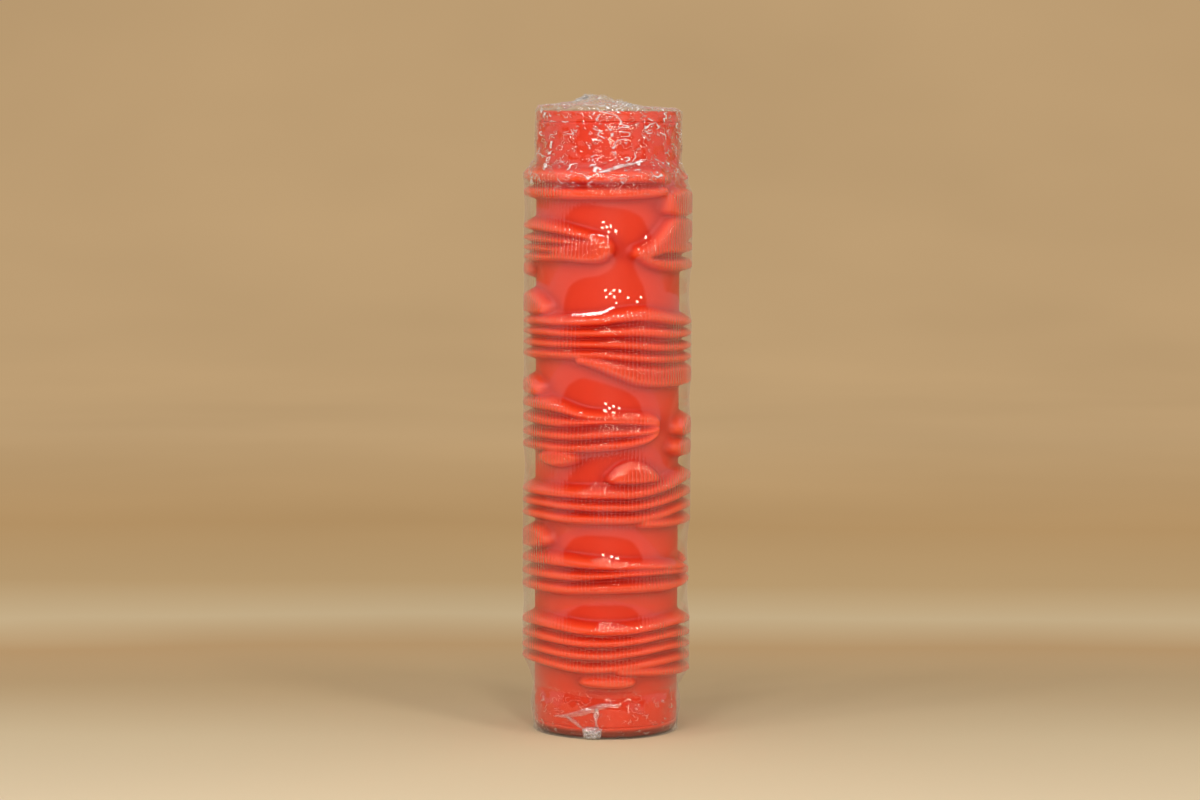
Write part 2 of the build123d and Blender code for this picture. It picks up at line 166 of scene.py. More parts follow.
focal_pixels = PIXELS_PER_MM / MM * CAMERA_DISTANCE
pitch = math.atan((IMAGE_HEIGHT / 2 - TOP_ROW) / focal_pixels)
yaw = math.atan((AXIS_COLUMN - IMAGE_WIDTH / 2) / focal_pixels)
camera_data = bpy.data.cameras.new("camera")
camera = in_scene("camera", camera_data)
camera_data.lens = focal_pixels / IMAGE_WIDTH * camera_data.sensor_width
camera.location = (0, -CAMERA_DISTANCE, CAMERA_HEIGHT)
camera.rotation_euler = (math.pi / 2 - pitch, ROLL, yaw)
bpy.context.scene.camera = camera
print("lens in mm:", round(camera_data.lens, 1), "pitch in degrees:", round(math.degrees(pitch), 2))

# %% [markdown]
# ## The paper that it stands on
# One sheet of brown kraft paper runs back and then curves up into a wall, so no line shows where the floor
# ends. It could be two planes with a soft light on the join, but a real sweep needs no such trick. It is
# staged, which keeps it out of the object.

# %% Swept sheet
FLOOR_HALF = 3.0
SWEEP_START = 1.2
SWEEP_RADIUS = 1.2
WALL_HEIGHT = 3.0
SWEEP_STEPS = 24


def swept_floor():
    """A sheet that lies flat and then curves up behind the roller."""
    path = [(-FLOOR_HALF, 0.0), (SWEEP_START, 0.0)]
    for step in range(1, SWEEP_STEPS + 1):
        turn = math.pi / 2 * step / SWEEP_STEPS
        path.append((SWEEP_START + SWEEP_RADIUS * math.sin(turn), SWEEP_RADIUS * (1 - math.cos(turn))))
    path.append((SWEEP_START + SWEEP_RADIUS, WALL_HEIGHT))
    verts = [(side * FLOOR_HALF, y, z) for y, z in path for side in (-1, 1)]
    faces = [(2 * i, 2 * i + 1, 2 * i + 3, 2 * i + 2) for i in range(len(path) - 1)]
    return smooth_mesh("floor", verts, faces)


floor = swept_floor()
print("strips in the sheet:", len(floor.data.polygons))

# %% [markdown]
# Kraft paper is matt and a little mottled, so it gives the eye a quiet brown ground with no glint in it. In
# the photograph it is pale in front, has a brown dip and a pale line behind the roller, and is cloudy above,
# and these bands hold painted light and shade as well as the paper's colour. Far from the roller it is
# painted for the camera as it should look and glows with it, and near the roller it is lit, so that it takes
# the shadow. Rays that the film reflects don't see it past the table's front edge, where the room begins.

# %% Kraft paper
TABLE_EDGE = 0.16
SHADOW_REACH = (0.04, 0.16)
BAND_NEAR, BAND_FAR = -0.12, 0.88
BAND_WANDER = 0.12
PAPER_CLOUD = 454.5 * MM
PAPER_SHADE = (0.93, 1.05)
PAPER_COLOUR_AND_PAINTED_LIGHT = {0.0: "#E1CFB1", 0.10: "#D6C3A2", 0.20: "#BEA37D", 0.26: "#B8966C", 0.33: "#C6AE88",
               0.42: "#B99A6F", 0.60: "#B49164", 1.0: "#BE9E74"}


def paper_material():
    """Kraft paper in soft bands from front to back, which carry painted light and shade, with clouds in it.
    """
    material, tree = new_material("brown kraft paper")
    coords = add(tree, "ShaderNodeTexCoord").outputs["Object"]
    depth = add(tree, "ShaderNodeSeparateXYZ", [coords]).outputs["Y"]
    cloud = add(tree, "ShaderNodeTexNoise", {"Vector": coords, "Scale": 1 / PAPER_CLOUD, "Detail": 3.0})
    wander = add(tree, "ShaderNodeMath", [cloud.outputs["Fac"], 0.5], operation="SUBTRACT")
    place = add(tree, "ShaderNodeMapRange", {"Value": depth, "From Min": BAND_NEAR, "From Max": BAND_FAR})
    band = add(tree, "ShaderNodeMath", [wander, BAND_WANDER, place], operation="MULTIPLY_ADD")
    ramp = add(tree, "ShaderNodeValToRGB", {"Fac": band})
    set_stops(ramp, PAPER_COLOUR_AND_PAINTED_LIGHT)
    tint = clouded(tree, ramp, cloud.outputs["Fac"], *PAPER_SHADE)
    path = add(tree, "ShaderNodeLightPath")
    lit = add(tree, "ShaderNodeBsdfDiffuse", {"Color": tint})
    # Painted light: far from the roller the paper glows with its banded colour instead of being lit.
    shown = add(tree, "ShaderNodeEmission", {"Color": tint, "Strength": 1.0})
    far = add(tree, "ShaderNodeMapRange", {
        "Value": depth, "From Min": SHADOW_REACH[0], "From Max": SHADOW_REACH[1]},
        interpolation_type="SMOOTHSTEP")
    looked_at = add(tree, "ShaderNodeMath", [
        path.outputs["Is Camera Ray"], path.outputs["Is Glossy Ray"]], operation="MAXIMUM")
    seen = add(tree, "ShaderNodeMath", [looked_at, far], operation="MULTIPLY")
    both = add(tree, "ShaderNodeMixShader", [seen, lit, shown])
    edge = add(tree, "ShaderNodeMath", [depth, -TABLE_EDGE], operation="LESS_THAN")
    gone = add(tree, "ShaderNodeMath", [edge, path.outputs["Is Glossy Ray"]], operation="MULTIPLY")
    open_air = add(tree, "ShaderNodeBsdfTransparent")
    whole = add(tree, "ShaderNodeMixShader", [gone, both, open_air])
    add(tree, "ShaderNodeOutputMaterial", {"Surface": whole})
    return material


floor.data.materials.append(paper_material())
print("paper bands:", len(PAPER_COLOUR_AND_PAINTED_LIGHT))

# %% [markdown]
# ## Light for a shiny film
# A clear film shows little but what it reflects. In the photograph the room behind the camera is dark, and
# both sides are pale. So each bulge of film shows a dark patch in its middle, with a pale haze on both sides.
# The world is a plain studio that does the same: one soft pale tone, with a dark rounded opening in front.

# %% World
WALL_LIGHT = 0.68
OPENING_LIGHT = 0.02
OPENING_MIDDLE = math.radians(-4)
OPENING_HALF = math.radians(61)
OPENING_RISE = math.radians(26)
OPENING_HEIGHT = math.radians(40)
OPENING_ROUNDING = 3.0
OPENING_BLUR = 0.12
ROOM_COLOUR = "#F7F0E6"
BACKDROP_COLOUR = "#D8C6A8"


def room_light(tree, direction):
    """How bright the room is: dark towards a rounded window in front, and pale elsewhere."""
    level = add(tree, "ShaderNodeVectorMath", [direction, (1, 1, 0)], operation="MULTIPLY")
    turned = add(tree, "ShaderNodeVectorMath", [level], operation="NORMALIZE")
    middle = (math.sin(OPENING_MIDDLE), -math.cos(OPENING_MIDDLE), 0)
    frontal = add(tree, "ShaderNodeVectorMath", [turned, middle], operation="DOT_PRODUCT")
    aside = add(tree, "ShaderNodeMath", [frontal.outputs["Value"]], operation="ARCCOSINE")
    height = add(tree, "ShaderNodeSeparateXYZ", [direction])
    rise = add(tree, "ShaderNodeMath", [height.outputs["Z"]], operation="ARCSINE")
    above = add(tree, "ShaderNodeMath", [rise, OPENING_RISE], operation="SUBTRACT")
    off = add(tree, "ShaderNodeMath", [above], operation="ABSOLUTE")
    parts = []
    for angle, half in ((aside, OPENING_HALF), (off, OPENING_HEIGHT)):
        share = add(tree, "ShaderNodeMath", [angle, half], operation="DIVIDE")
        parts.append(add(tree, "ShaderNodeMath", [share, OPENING_ROUNDING], operation="POWER"))
    whole = add(tree, "ShaderNodeMath", parts, operation="ADD")
    return add(tree, "ShaderNodeMapRange", {
        "Value": whole,
        "From Min": 1 - OPENING_BLUR, "From Max": 1 + OPENING_BLUR,
        "To Min": OPENING_LIGHT, "To Max": WALL_LIGHT,
    }, interpolation_type="SMOOTHSTEP")


world = bpy.data.worlds.new("studio")
bpy.context.scene.world = world
world.use_nodes = True
tree = world.node_tree
tree.nodes.clear()
strength = room_light(tree, add(tree, "ShaderNodeTexCoord").outputs["Generated"])
lit = add(tree, "ShaderNodeBackground", {"Color": linear(ROOM_COLOUR), "Strength": strength})
shown = add(tree, "ShaderNodeBackground", {"Color": linear(BACKDROP_COLOUR), "Strength": 1.0})
path = add(tree, "ShaderNodeLightPath")
both = add(tree, "ShaderNodeMixShader", [path.outputs["Is Camera Ray"], lit, shown])
add(tree, "ShaderNodeOutputWorld", {"Surface": both})
bpy.context.scene.view_settings.view_transform = "Standard"
print("dark opening in degrees:", round(2 * math.degrees(OPENING_HALF)))

# %% [markdown]
# Three kinds of lamp hang in that dark opening. A long low tube draws the bright streaks on the folds of
# film, small ceiling lamps put a glint on each crest, and a row of lamps far down the room shows as loose
# groups of dots. Each is given by its angle to the right of the camera and its angle above the floor.

# %% Lamps
LAMP_PLACES = {
    "low lamp tube": [(-21, 17)],
    "ceiling lamp": [(-42, 28), (-14, 31), (13, 26), (38, 33), (-55, 47), (-22, 50), (8, 44), (44, 52)],
    "far lamp": [(-3, 1), (-3, 6), (3, 4), (8, 2), (16, 3), (8, 7), (10, 12), (27, 8), (41, 11), (46, 7)],
}
LAMP_KINDS = {
    "low lamp tube": {"distance": 1.5, "size": (1.5, 0.04), "watts": 3.4, "colour": "#FFFDF8"},
    "ceiling lamp": {"distance": 1.5, "size": (0.14, 0.08), "watts": 2.0, "colour": "#FFFDF8"},
    "far lamp": {"distance": 2.5, "size": (0.15, 0.08), "watts": 0.8, "colour": "#FFF2D8"},
}


def hang_lamp(name, azimuth, elevation, distance, size, watts, colour):
    """A flat lamp that hangs in a direction from the roller's middle and faces it."""
    data = bpy.data.lights.new(name, "AREA")
    data.shape = "RECTANGLE"
    data.size, data.size_y = size
    data.energy = watts
    data.color = linear(colour)[:3]
    lamp = in_scene(name, data)
    turn, rise = math.radians(azimuth), math.radians(elevation)
    aim = Vector((math.sin(turn) * math.cos(rise), -math.cos(turn) * math.cos(rise), math.sin(rise)))
    lamp.location = Vector((0, 0, BODY_HIGH / 2)) + aim * distance
    lamp.rotation_euler = aim.to_track_quat("Z", "Y").to_euler()


for kind, places in LAMP_PLACES.items():
    for number, (azimuth, elevation) in enumerate(places, 1):
        hang_lamp(f"{kind} {number}", azimuth, elevation, **LAMP_KINDS[kind])
print("lamps:", len(bpy.data.lights))

# %% [markdown]
# ## The texture sleeve
# The sleeve is one moulding. Its ridges could be modelled by hand, but the solids already hold every ridge
# where the real one is, cut in flat facets. So a fine turned mesh is pushed out to meet them: from each point
# a ray runs in towards the axis, and the point moves to where the ray meets the solid. A little blur then
# rounds the crests as a mould does. Geometry Nodes follow such a rule well, and the film uses it too.

# %% Turned meshes and node trees
RAY_START = CREST * 1.5


def turned_mesh(name, profile, segments, closed):
    """A mesh turned from (radius, height) points. A closed profile gives a ring with no open edge."""
    rows = len(profile)
    verts = []
    for radius, height in profile:
        for k in range(segments):
            turn = 2 * math.pi * k / segments
            verts.append((radius * math.sin(turn), -radius * math.cos(turn), height))
    faces = []
    for row in range(rows if closed else rows - 1):
        low, high = row * segments, (row + 1) % rows * segments
        for k in range(segments):
            beside = (k + 1) % segments
            faces.append((low + k, low + beside, high + beside, high + k))
    return smooth_mesh(name, verts, faces)


def geometry_tree(name, **sockets):
    """An empty Geometry Nodes tree. Its named inputs are listed by kind, such as Float or Object."""
    tree = bpy.data.node_groups.new(name, "GeometryNodeTree")
    tree.interface.new_socket("Geometry", in_out="OUTPUT", socket_type="NodeSocketGeometry")
    for kind, labels in {"Geometry": ["Geometry"], **sockets, "Material": ["Material"]}.items():
        for label in labels:
            tree.interface.new_socket(label, in_out="INPUT", socket_type=f"NodeSocket{kind}")
    return tree, add(tree, "NodeGroupInput").outputs


def end_tree(tree, given, geometry):
    """Ends a tree: real mesh instead of instances, and its material."""
    made = add(tree, "GeometryNodeRealizeInstances", {"Geometry": geometry})
    painted = add(tree, "GeometryNodeSetMaterial", {0: made, "Material": given["Material"]})
    add(tree, "NodeGroupOutput", [painted])
    print(tree.name, "has", len(tree.nodes), "nodes")
    return tree


def run_nodes(obj, tree, values):
    """Runs a tree on an object with the named values and leaves a plain mesh."""
    modifier = obj.modifiers.new(tree.name, "NODES")
    modifier.node_group = tree
    for item in tree.interface.items_tree:
        if item.in_out == "INPUT" and item.name in values:
            modifier[item.identifier] = values[item.name]
    mesh = bpy.data.meshes.new_from_object(obj.evaluated_get(bpy.context.evaluated_depsgraph_get()))
    obj.modifiers.clear()
    obj.data = mesh
    print(obj.name, "has", sum(len(face.vertices) - 2 for face in mesh.polygons), "triangles")


def cylinder_parts(tree, position):
    """Splits a point into its direction from the axis, its distance from it, and its height as a vector."""
    flat = add(tree, "ShaderNodeVectorMath", [position, (1, 1, 0)], operation="MULTIPLY")
    rise = add(tree, "ShaderNodeVectorMath", [position, (0, 0, 1)], operation="MULTIPLY")
    outward = add(tree, "ShaderNodeVectorMath", [flat], operation="NORMALIZE")
    radius = add(tree, "ShaderNodeVectorMath", [flat], operation="LENGTH")
    return outward, radius.outputs["Value"], rise


def point_at(tree, outward, radius, rise):
    """The point at a distance from the axis, with a direction and a height."""
    flat = add(tree, "ShaderNodeVectorMath", {0: outward, "Scale": radius}, operation="SCALE")
    return add(tree, "ShaderNodeVectorMath", [flat, rise], operation="ADD")


def surface_radius(tree, target, outward, rise, start, least):
    """How far from the axis an object's surface is, found by a ray that runs in from a start radius. A ray
    that misses ends at the origin, and gives the least radius."""
    solid = add(tree, "GeometryNodeObjectInfo", {"Object": target}, transform_space="RELATIVE")
    inward = add(tree, "ShaderNodeVectorMath", {0: outward, "Scale": -1.0}, operation="SCALE")
    ray = add(tree, "GeometryNodeRaycast", {
        "Target Geometry": solid.outputs["Geometry"],
        "Source Position": point_at(tree, outward, start, rise),
        "Ray Direction": inward,
        "Ray Length": start,
    })
    found = cylinder_parts(tree, ray.outputs["Hit Position"])[1]
    return add(tree, "ShaderNodeMath", [found, least], operation="MAXIMUM")


print("rays start", round(RAY_START / MM, 1), "mm from the axis")

# %% Relief tree
UNEVEN_SIZE = 6.25 * MM


def relief_tree():
    """Pushes a turned mesh out to the solid sleeve's surface and rounds what it finds. The attribute
    "standing" tells a groove, 0, from a crest, 1, and the rubber paints shade from it."""
    tree, given = geometry_tree(
        "relief from the solid", Object=["Solid sleeve"], Int=["Rounding", "Groove reach"],
        Float=["Base radius", "Ray start", "Unevenness", "Groove depth"])
    position = add(tree, "GeometryNodeInputPosition")
    outward, radius, rise = cylinder_parts(tree, position)
    kept = surface_radius(tree, given["Solid sleeve"], outward, rise, given["Ray start"],
                          given["Base radius"])
    rounded = add(tree, "GeometryNodeBlurAttribute", {0: kept, "Iterations": given["Rounding"]})
    dents = add(tree, "ShaderNodeTexNoise", {"Vector": position, "Scale": 1 / UNEVEN_SIZE, "Detail": 2.0})
    centred = add(tree, "ShaderNodeMath", [dents.outputs["Fac"], 0.5], operation="SUBTRACT")
    uneven = add(tree, "ShaderNodeMath", [centred, given["Unevenness"], rounded], operation="MULTIPLY_ADD")
    outer = add(tree, "FunctionNodeCompare", [radius, given["Base radius"]], operation="GREATER_EQUAL")
    around = add(tree, "GeometryNodeBlurAttribute", {0: kept, "Iterations": given["Groove reach"]})
    proud = add(tree, "ShaderNodeMath", [rounded, around], operation="SUBTRACT")
    sunk = add(tree, "ShaderNodeMath", [0.0, given["Groove depth"]], operation="SUBTRACT")
    standing = add(tree, "ShaderNodeMapRange", {
        "Value": proud, "From Min": sunk, "From Max": given["Groove depth"]})
    shaded = add(tree, "GeometryNodeStoreNamedAttribute", {
        "Geometry": given["Geometry"], "Name": "standing", "Value": standing})
    moved = add(tree, "GeometryNodeSetPosition", {
        "Geometry": shaded,
        "Selection": outer,
        "Position": point_at(tree, outward, uneven, rise),
    })
    return end_tree(tree, given, moved)


relief = relief_tree()

# %% [markdown]
# ### Its rubber
# Silicone rubber gives the eye a deep, even colour with a soft sheen, and no glint. Its tone is painted
# deeper in the grooves and warmer on the crests, from the attribute that the relief tree stores: painted
# shade for the light that a narrow groove traps. The grain is the fine texture that the mould leaves.

# %% Silicone rubber
RUBBER_COLOUR_AND_GROOVE_SHADE = {0.0: "#D2260A", 0.5: "#EA3814", 1.0: "#FC5024"}
RUBBER_CLOUD = 16.67 * MM
RUBBER_SHADE = (0.95, 1.03)
RUBBER_GRAIN = 0.4 * MM
RUBBER_GRAIN_DEPTH = 0.05 * MM


def rubber_material():
    """Moulded rubber with painted shade: its tone is deeper where a point sinks below its surroundings and
    paler where it stands out.
    """
    material, tree = new_material("moulded silicone rubber, orange-red")
    coords = add(tree, "ShaderNodeTexCoord").outputs["Object"]
    cloud = add(tree, "ShaderNodeTexNoise", {"Vector": coords, "Scale": 1 / RUBBER_CLOUD, "Detail": 3.0})
    standing = add(tree, "ShaderNodeAttribute", attribute_name="standing")
    # Painted shade: the ramp darkens the grooves and pales the crests by how far a point stands out.
    ramp = add(tree, "ShaderNodeValToRGB", {"Fac": standing.outputs["Fac"]})
    set_stops(ramp, RUBBER_COLOUR_AND_GROOVE_SHADE)
    grain = add(tree, "ShaderNodeTexNoise", {"Vector": coords, "Scale": 1 / RUBBER_GRAIN, "Detail": 2.0})
    bump = add(tree, "ShaderNodeBump", {
        "Height": grain.outputs["Fac"], "Strength": 0.15, "Distance": RUBBER_GRAIN_DEPTH})
    surface = add(tree, "ShaderNodeBsdfPrincipled", {
        "Base Color": clouded(tree, ramp, cloud.outputs["Fac"], *RUBBER_SHADE),
        "Roughness": 0.42, "IOR": 1.45, "Normal": bump,
    })
    add(tree, "ShaderNodeOutputMaterial", {"Surface": surface})
    return material


rubber = rubber_material()
print("material:", rubber.name)

# %% Sleeve
SLEEVE_SEGMENTS = 184
ROW_SPACING = 0.34 * MM
CHAMFER = 0.35 * MM
FOOT_CHAMFER = 0.08 * MM
HAIR = 0.002 * MM


def sleeve_profile():
    """Closed outline of the sleeve's wall: up the outside in fine rows, and down the bore."""
    low, high = sleeve_low.z, sleeve_high.z
    length = high - low - CHAMFER - FOOT_CHAMFER
    rows = round(length / ROW_SPACING)
    side = [(BASE + HAIR, low + FOOT_CHAMFER + length * k / rows) for k in range(rows + 1)]
    return [(CORE, low), (BASE - FOOT_CHAMFER, low), *side, (BASE - CHAMFER, high), (CORE, high)]


sleeve = turned_mesh("texture_sleeve_moulding", sleeve_profile(), SLEEVE_SEGMENTS, closed=True)
run_nodes(sleeve, relief, {
    "Solid sleeve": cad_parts["texture_sleeve"],
    "Base radius": BASE,
    "Ray start": RAY_START,
    "Rounding": 2,
    "Unevenness": 0.05 * MM,
    # How far round a point looks for its surroundings, and how far below them the rubber's painted groove
    # shade is darkest.
    "Groove reach": 40,
    "Groove depth": 0.7 * MM,
    "Material": rubber,
})
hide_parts("texture_sleeve")
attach(sleeve, "roller")

# %% [markdown]
# ## Caps, tube and bushes
# These pieces keep their solids' shapes, and each gets a material that shows how it was made. The caps are
# ABS, injection moulded in the sleeve's colour: opaque and a shade smoother than the rubber. The lower one's
# rounded edge looks down at the table and lies in shade, and its material adds painted shade there, darker
# towards the bottom. The core is an extruded PVC pipe with faint draw lines, matt and grey. The bushes are
# natural nylon, milky and a little waxy.

# %% Plastics
# Heights of the foot cap's painted shade: darkest at the first, none above the second.
FOOT_SHADE_DARKEST, FOOT_SHADE_END = 1.92 * MM, 3.2 * MM
GRAINS_IN_CLOUD = 20


def moulded_plastic(name, dark, pale, roughness, cloud_size, grain_depth, stretch=(1, 1, 1), painted_shade_tone=1.0):
    """Opaque plastic with a faint cloud of colour and the grain that its mould or die leaves. A shade tone
    under 1 paints shade on a rounded foot edge, darker towards the bottom."""
    material, tree = new_material(name)
    coords = add(tree, "ShaderNodeTexCoord").outputs["Object"]
    drawn = add(tree, "ShaderNodeMapping", {"Vector": coords, "Scale": stretch})
    cloud = add(tree, "ShaderNodeTexNoise", {"Vector": drawn, "Scale": 1 / cloud_size, "Detail": 3.0})
    tint = add(tree, "ShaderNodeMix", {0: cloud.outputs["Fac"], 6: linear(dark), 7: linear(pale)},
               data_type="RGBA")
    # Painted shade: the colour gets darker towards the bottom of the foot edge.
    height = add(tree, "ShaderNodeSeparateXYZ", [coords]).outputs["Z"]
    painted_foot_shade = add(tree, "ShaderNodeMapRange", {
        "Value": height, "From Min": FOOT_SHADE_DARKEST, "From Max": FOOT_SHADE_END, "To Min": painted_shade_tone, "To Max": 1.0},
        interpolation_type="SMOOTHSTEP")
    toned = add(tree, "ShaderNodeVectorMath", {0: tint.outputs[2], "Scale": painted_foot_shade}, operation="SCALE")
    grain = add(tree, "ShaderNodeTexNoise", {
        "Vector": drawn, "Scale": GRAINS_IN_CLOUD / cloud_size, "Detail": 2.0})
    bump = add(tree, "ShaderNodeBump", {
        "Height": grain.outputs["Fac"], "Strength": 0.2, "Distance": grain_depth})
    surface = add(tree, "ShaderNodeBsdfPrincipled", {
        "Base Color": toned, "Roughness": roughness, "Normal": bump})
    add(tree, "ShaderNodeOutputMaterial", {"Surface": surface})
    return material


CAP_FINISH = ("#E5391B", "#F24A28", 0.35, 12.5 * MM, 0.02 * MM)
PLASTICS = {
    "cap": moulded_plastic("moulded ABS, orange-red", *CAP_FINISH),
    # The lower cap's material carries painted shade on its rounded foot edge.
    "foot cap": moulded_plastic("moulded ABS, orange-red, painted foot shade", *CAP_FINISH, painted_shade_tone=0.3),
    "core": moulded_plastic("extruded PVC pipe, light grey", "#B9BAB6", "#CDCDC8", 0.45, 8.333 * MM,
                            0.02 * MM, stretch=(1, 1, 0.05)),
    "bush": moulded_plastic("natural nylon", "#E4DECF", "#F0EBDD", 0.4, 6.667 * MM, 0.01 * MM),
}
PIECE_PLASTIC = {"top_end_cap": "cap", "bottom_end_cap": "foot cap", "core_tube": "core",
                 "top_axle_bush": "bush", "bottom_axle_bush": "bush"}
for node, kind in PIECE_PLASTIC.items():
    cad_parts[node].data.materials.clear()
    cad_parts[node].data.materials.append(PLASTICS[kind])
print("plastics:", ", ".join(material.name for material in PLASTICS.values()))

# %% [markdown]
# ## The shrink film
# The film is a tube of clear plastic that hot air has drawn tight. It touches the crests, spans the gaps
# between them in shallow saddles, and hugs the plain bands at both ends. A cloth simulation could do it, but
# a rule is quicker and never cuts into the roller: a soap skin starts outside, and in each pass every point
# moves to the mean of its neighbours, sinks a hair, and is set back where it has gone under the surface. The
# passes run in a Repeat zone. Then the neck is crumpled, and the foot is left a little loose.

# %% Film tree
def drawn_tight(tree, given, position):
    """Draws the tube tight pass by pass. Gives the geometry, with the skin's radius and the lowest that the
    radius may be, which are attributes of it."""
    outward, radius, rise = cylinder_parts(tree, position)
    found = surface_radius(tree, given["Moulding"], outward, rise, given["Ray start"], given["Base radius"])
    lifted = add(tree, "ShaderNodeMath", [found, given["Air gap"]], operation="ADD")
    with_lowest = add(tree, "GeometryNodeStoreNamedAttribute", {
        "Geometry": given["Geometry"], "Name": "lowest", "Value": lifted})
    with_skin = add(tree, "GeometryNodeStoreNamedAttribute", {
        "Geometry": with_lowest, "Name": "skin", "Value": radius})
    lowest = add(tree, "GeometryNodeInputNamedAttribute", {"Name": "lowest"})
    skin = add(tree, "GeometryNodeInputNamedAttribute", {"Name": "skin"})
    start = tree.nodes.new("GeometryNodeRepeatInput")
    end = tree.nodes.new("GeometryNodeRepeatOutput")
    start.pair_with_output(end)
    tree.links.new(given["Passes"], start.inputs["Iterations"])
    tree.links.new(with_skin.outputs[0], start.inputs["Geometry"])
    evened = add(tree, "GeometryNodeBlurAttribute", {0: skin, "Iterations": given["Steps in a pass"]})
    height = add(tree, "ShaderNodeSeparateXYZ", [position]).outputs["Z"]
    under = add(tree, "ShaderNodeMath", [height, given["Foot end"]], operation="LESS_THAN")
    over = add(tree, "ShaderNodeMath", [height, given["Neck end"]], operation="GREATER_THAN")
    ends = add(tree, "ShaderNodeMath", [under, over], operation="ADD")
    pull = add(tree, "ShaderNodeMath", [ends, given["End pull"], given["Pull"]], operation="MULTIPLY_ADD")
    sunk = add(tree, "ShaderNodeMath", [evened, pull], operation="SUBTRACT")
    held = add(tree, "ShaderNodeMath", [sunk, lowest], operation="MAXIMUM")
    passed = add(tree, "GeometryNodeStoreNamedAttribute", {
        "Geometry": start.outputs["Geometry"], "Name": "skin", "Value": held})
    tree.links.new(passed.outputs[0], end.inputs["Geometry"])
    return end.outputs["Geometry"], skin, lowest


def crease_field(tree, position, size):
    """Heights from 0 to about 1 that fold like crumpled cellophane: flat scraps with sharp lines between."""
    wide = add(tree, "ShaderNodeMath", [1.0, size], operation="DIVIDE")
    bend = add(tree, "ShaderNodeTexNoise", {"Vector": position, "Scale": wide, "Detail": 2.0})
    shift = add(tree, "ShaderNodeVectorMath", [bend.outputs["Color"], (0.5, 0.5, 0.5)], operation="SUBTRACT")
    reach = add(tree, "ShaderNodeVectorMath", {0: shift, "Scale": size}, operation="SCALE")
    bent = add(tree, "ShaderNodeVectorMath", [position, reach], operation="ADD")
    scraps = add(tree, "ShaderNodeTexVoronoi", {"Vector": bent, "Scale": wide}, feature="F1")
    return scraps.outputs["Distance"]


def film_tree():
    """Draws a tube tight over the moulding, then crumples its neck and loosens its foot. Stores in the
    attribute "tight" where it lies on a crest."""
    tree, given = geometry_tree(
        "film drawn over the moulding", Object=["Moulding"], Int=["Passes", "Steps in a pass"],
        Float=["Base radius", "Ray start", "Air gap", "Band radius", "Band blur", "Pull", "End pull",
               "Foot end", "Neck end", "Crease size", "Crease depth", "Crease top", "Crease run",
               "Loose foot", "Foot bottom", "Foot middle", "Foot top", "Foot folds"])
    position = add(tree, "GeometryNodeInputPosition")
    drawn, skin, lowest = drawn_tight(tree, given, position)
    outward, _, rise = cylinder_parts(tree, position)
    height = add(tree, "ShaderNodeSeparateXYZ", [position]).outputs["Z"]
    run_end = add(tree, "ShaderNodeMath", [given["Crease top"], given["Crease run"]], operation="SUBTRACT")
    at_neck = add(tree, "ShaderNodeMapRange", {
        "Value": height, "From Min": run_end, "From Max": given["Crease top"]},
        interpolation_type="SMOOTHSTEP")
    creases = crease_field(tree, position, given["Crease size"])
    depth = add(tree, "ShaderNodeMath", [at_neck, given["Crease depth"]], operation="MULTIPLY")
    creased = add(tree, "ShaderNodeMath", [creases, depth, skin], operation="MULTIPLY_ADD")

    rising = add(tree, "ShaderNodeMapRange", {
        "Value": height, "From Min": given["Foot bottom"], "From Max": given["Foot middle"]},
        interpolation_type="SMOOTHSTEP")
    falling = add(tree, "ShaderNodeMapRange", {
        "Value": height, "From Min": given["Foot middle"], "From Max": given["Foot top"],
        "To Min": 1.0, "To Max": 0.0}, interpolation_type="SMOOTHSTEP")
    band = add(tree, "ShaderNodeMath", [rising, falling], operation="MULTIPLY")
    fold_scale = add(tree, "ShaderNodeMath", [1.0, given["Foot folds"]], operation="DIVIDE")
    billow = add(tree, "ShaderNodeTexNoise", {"Vector": position, "Scale": fold_scale, "Detail": 1.0})
    room = add(tree, "ShaderNodeMath", [band, given["Loose foot"]], operation="MULTIPLY")
    loosened = add(tree, "ShaderNodeMath", [billow.outputs["Fac"], room, creased], operation="MULTIPLY_ADD")
    clear = add(tree, "ShaderNodeMath", [loosened, lowest], operation="MAXIMUM")
    band_start = add(tree, "ShaderNodeMath", [given["Band radius"], given["Band blur"]], operation="SUBTRACT")
    tight = add(tree, "ShaderNodeMapRange", {
        "Value": skin, "From Min": band_start, "From Max": given["Band radius"]})
    kept_tight = add(tree, "GeometryNodeStoreNamedAttribute", {
        "Geometry": drawn, "Name": "tight", "Value": tight})
    moved = add(tree, "GeometryNodeSetPosition", {
        "Geometry": kept_tight, "Position": point_at(tree, outward, clear, rise)})
    bare = moved
    for scratch in ("skin", "lowest"):
        bare = add(tree, "GeometryNodeRemoveAttribute", {"Geometry": bare, "Name": scratch})
    return end_tree(tree, given, bare)


drawn_film = film_tree()

# %% [markdown]
# ### Its finish
# The film is clear polyolefin, blown thin: it gives the eye no colour of its own, only a sharp reflection, so
# the shader mixes see-through with gloss and takes the gloss's share from Fresnel for a thin sheet. The marks
# of shrinking lie in its normals. Where it is tight over the crests it has small puckers, and stands in fine
# upright pleats. The real pleats are a few tenths of a millimetre apart, which is too fine to show here, so
# they are drawn coarser, about 1.2 mm apart. Where it had width to spare, at both ends, it has soft billows
# and short curled creases. Strained and doubled film turns milky, so some of the creases and the folds carry
# a share of matt white; on the creases it is partly painted glint. The film's far edges, where it turns
# edge-on, carry matt white as well, partly haze and partly painted sheen.

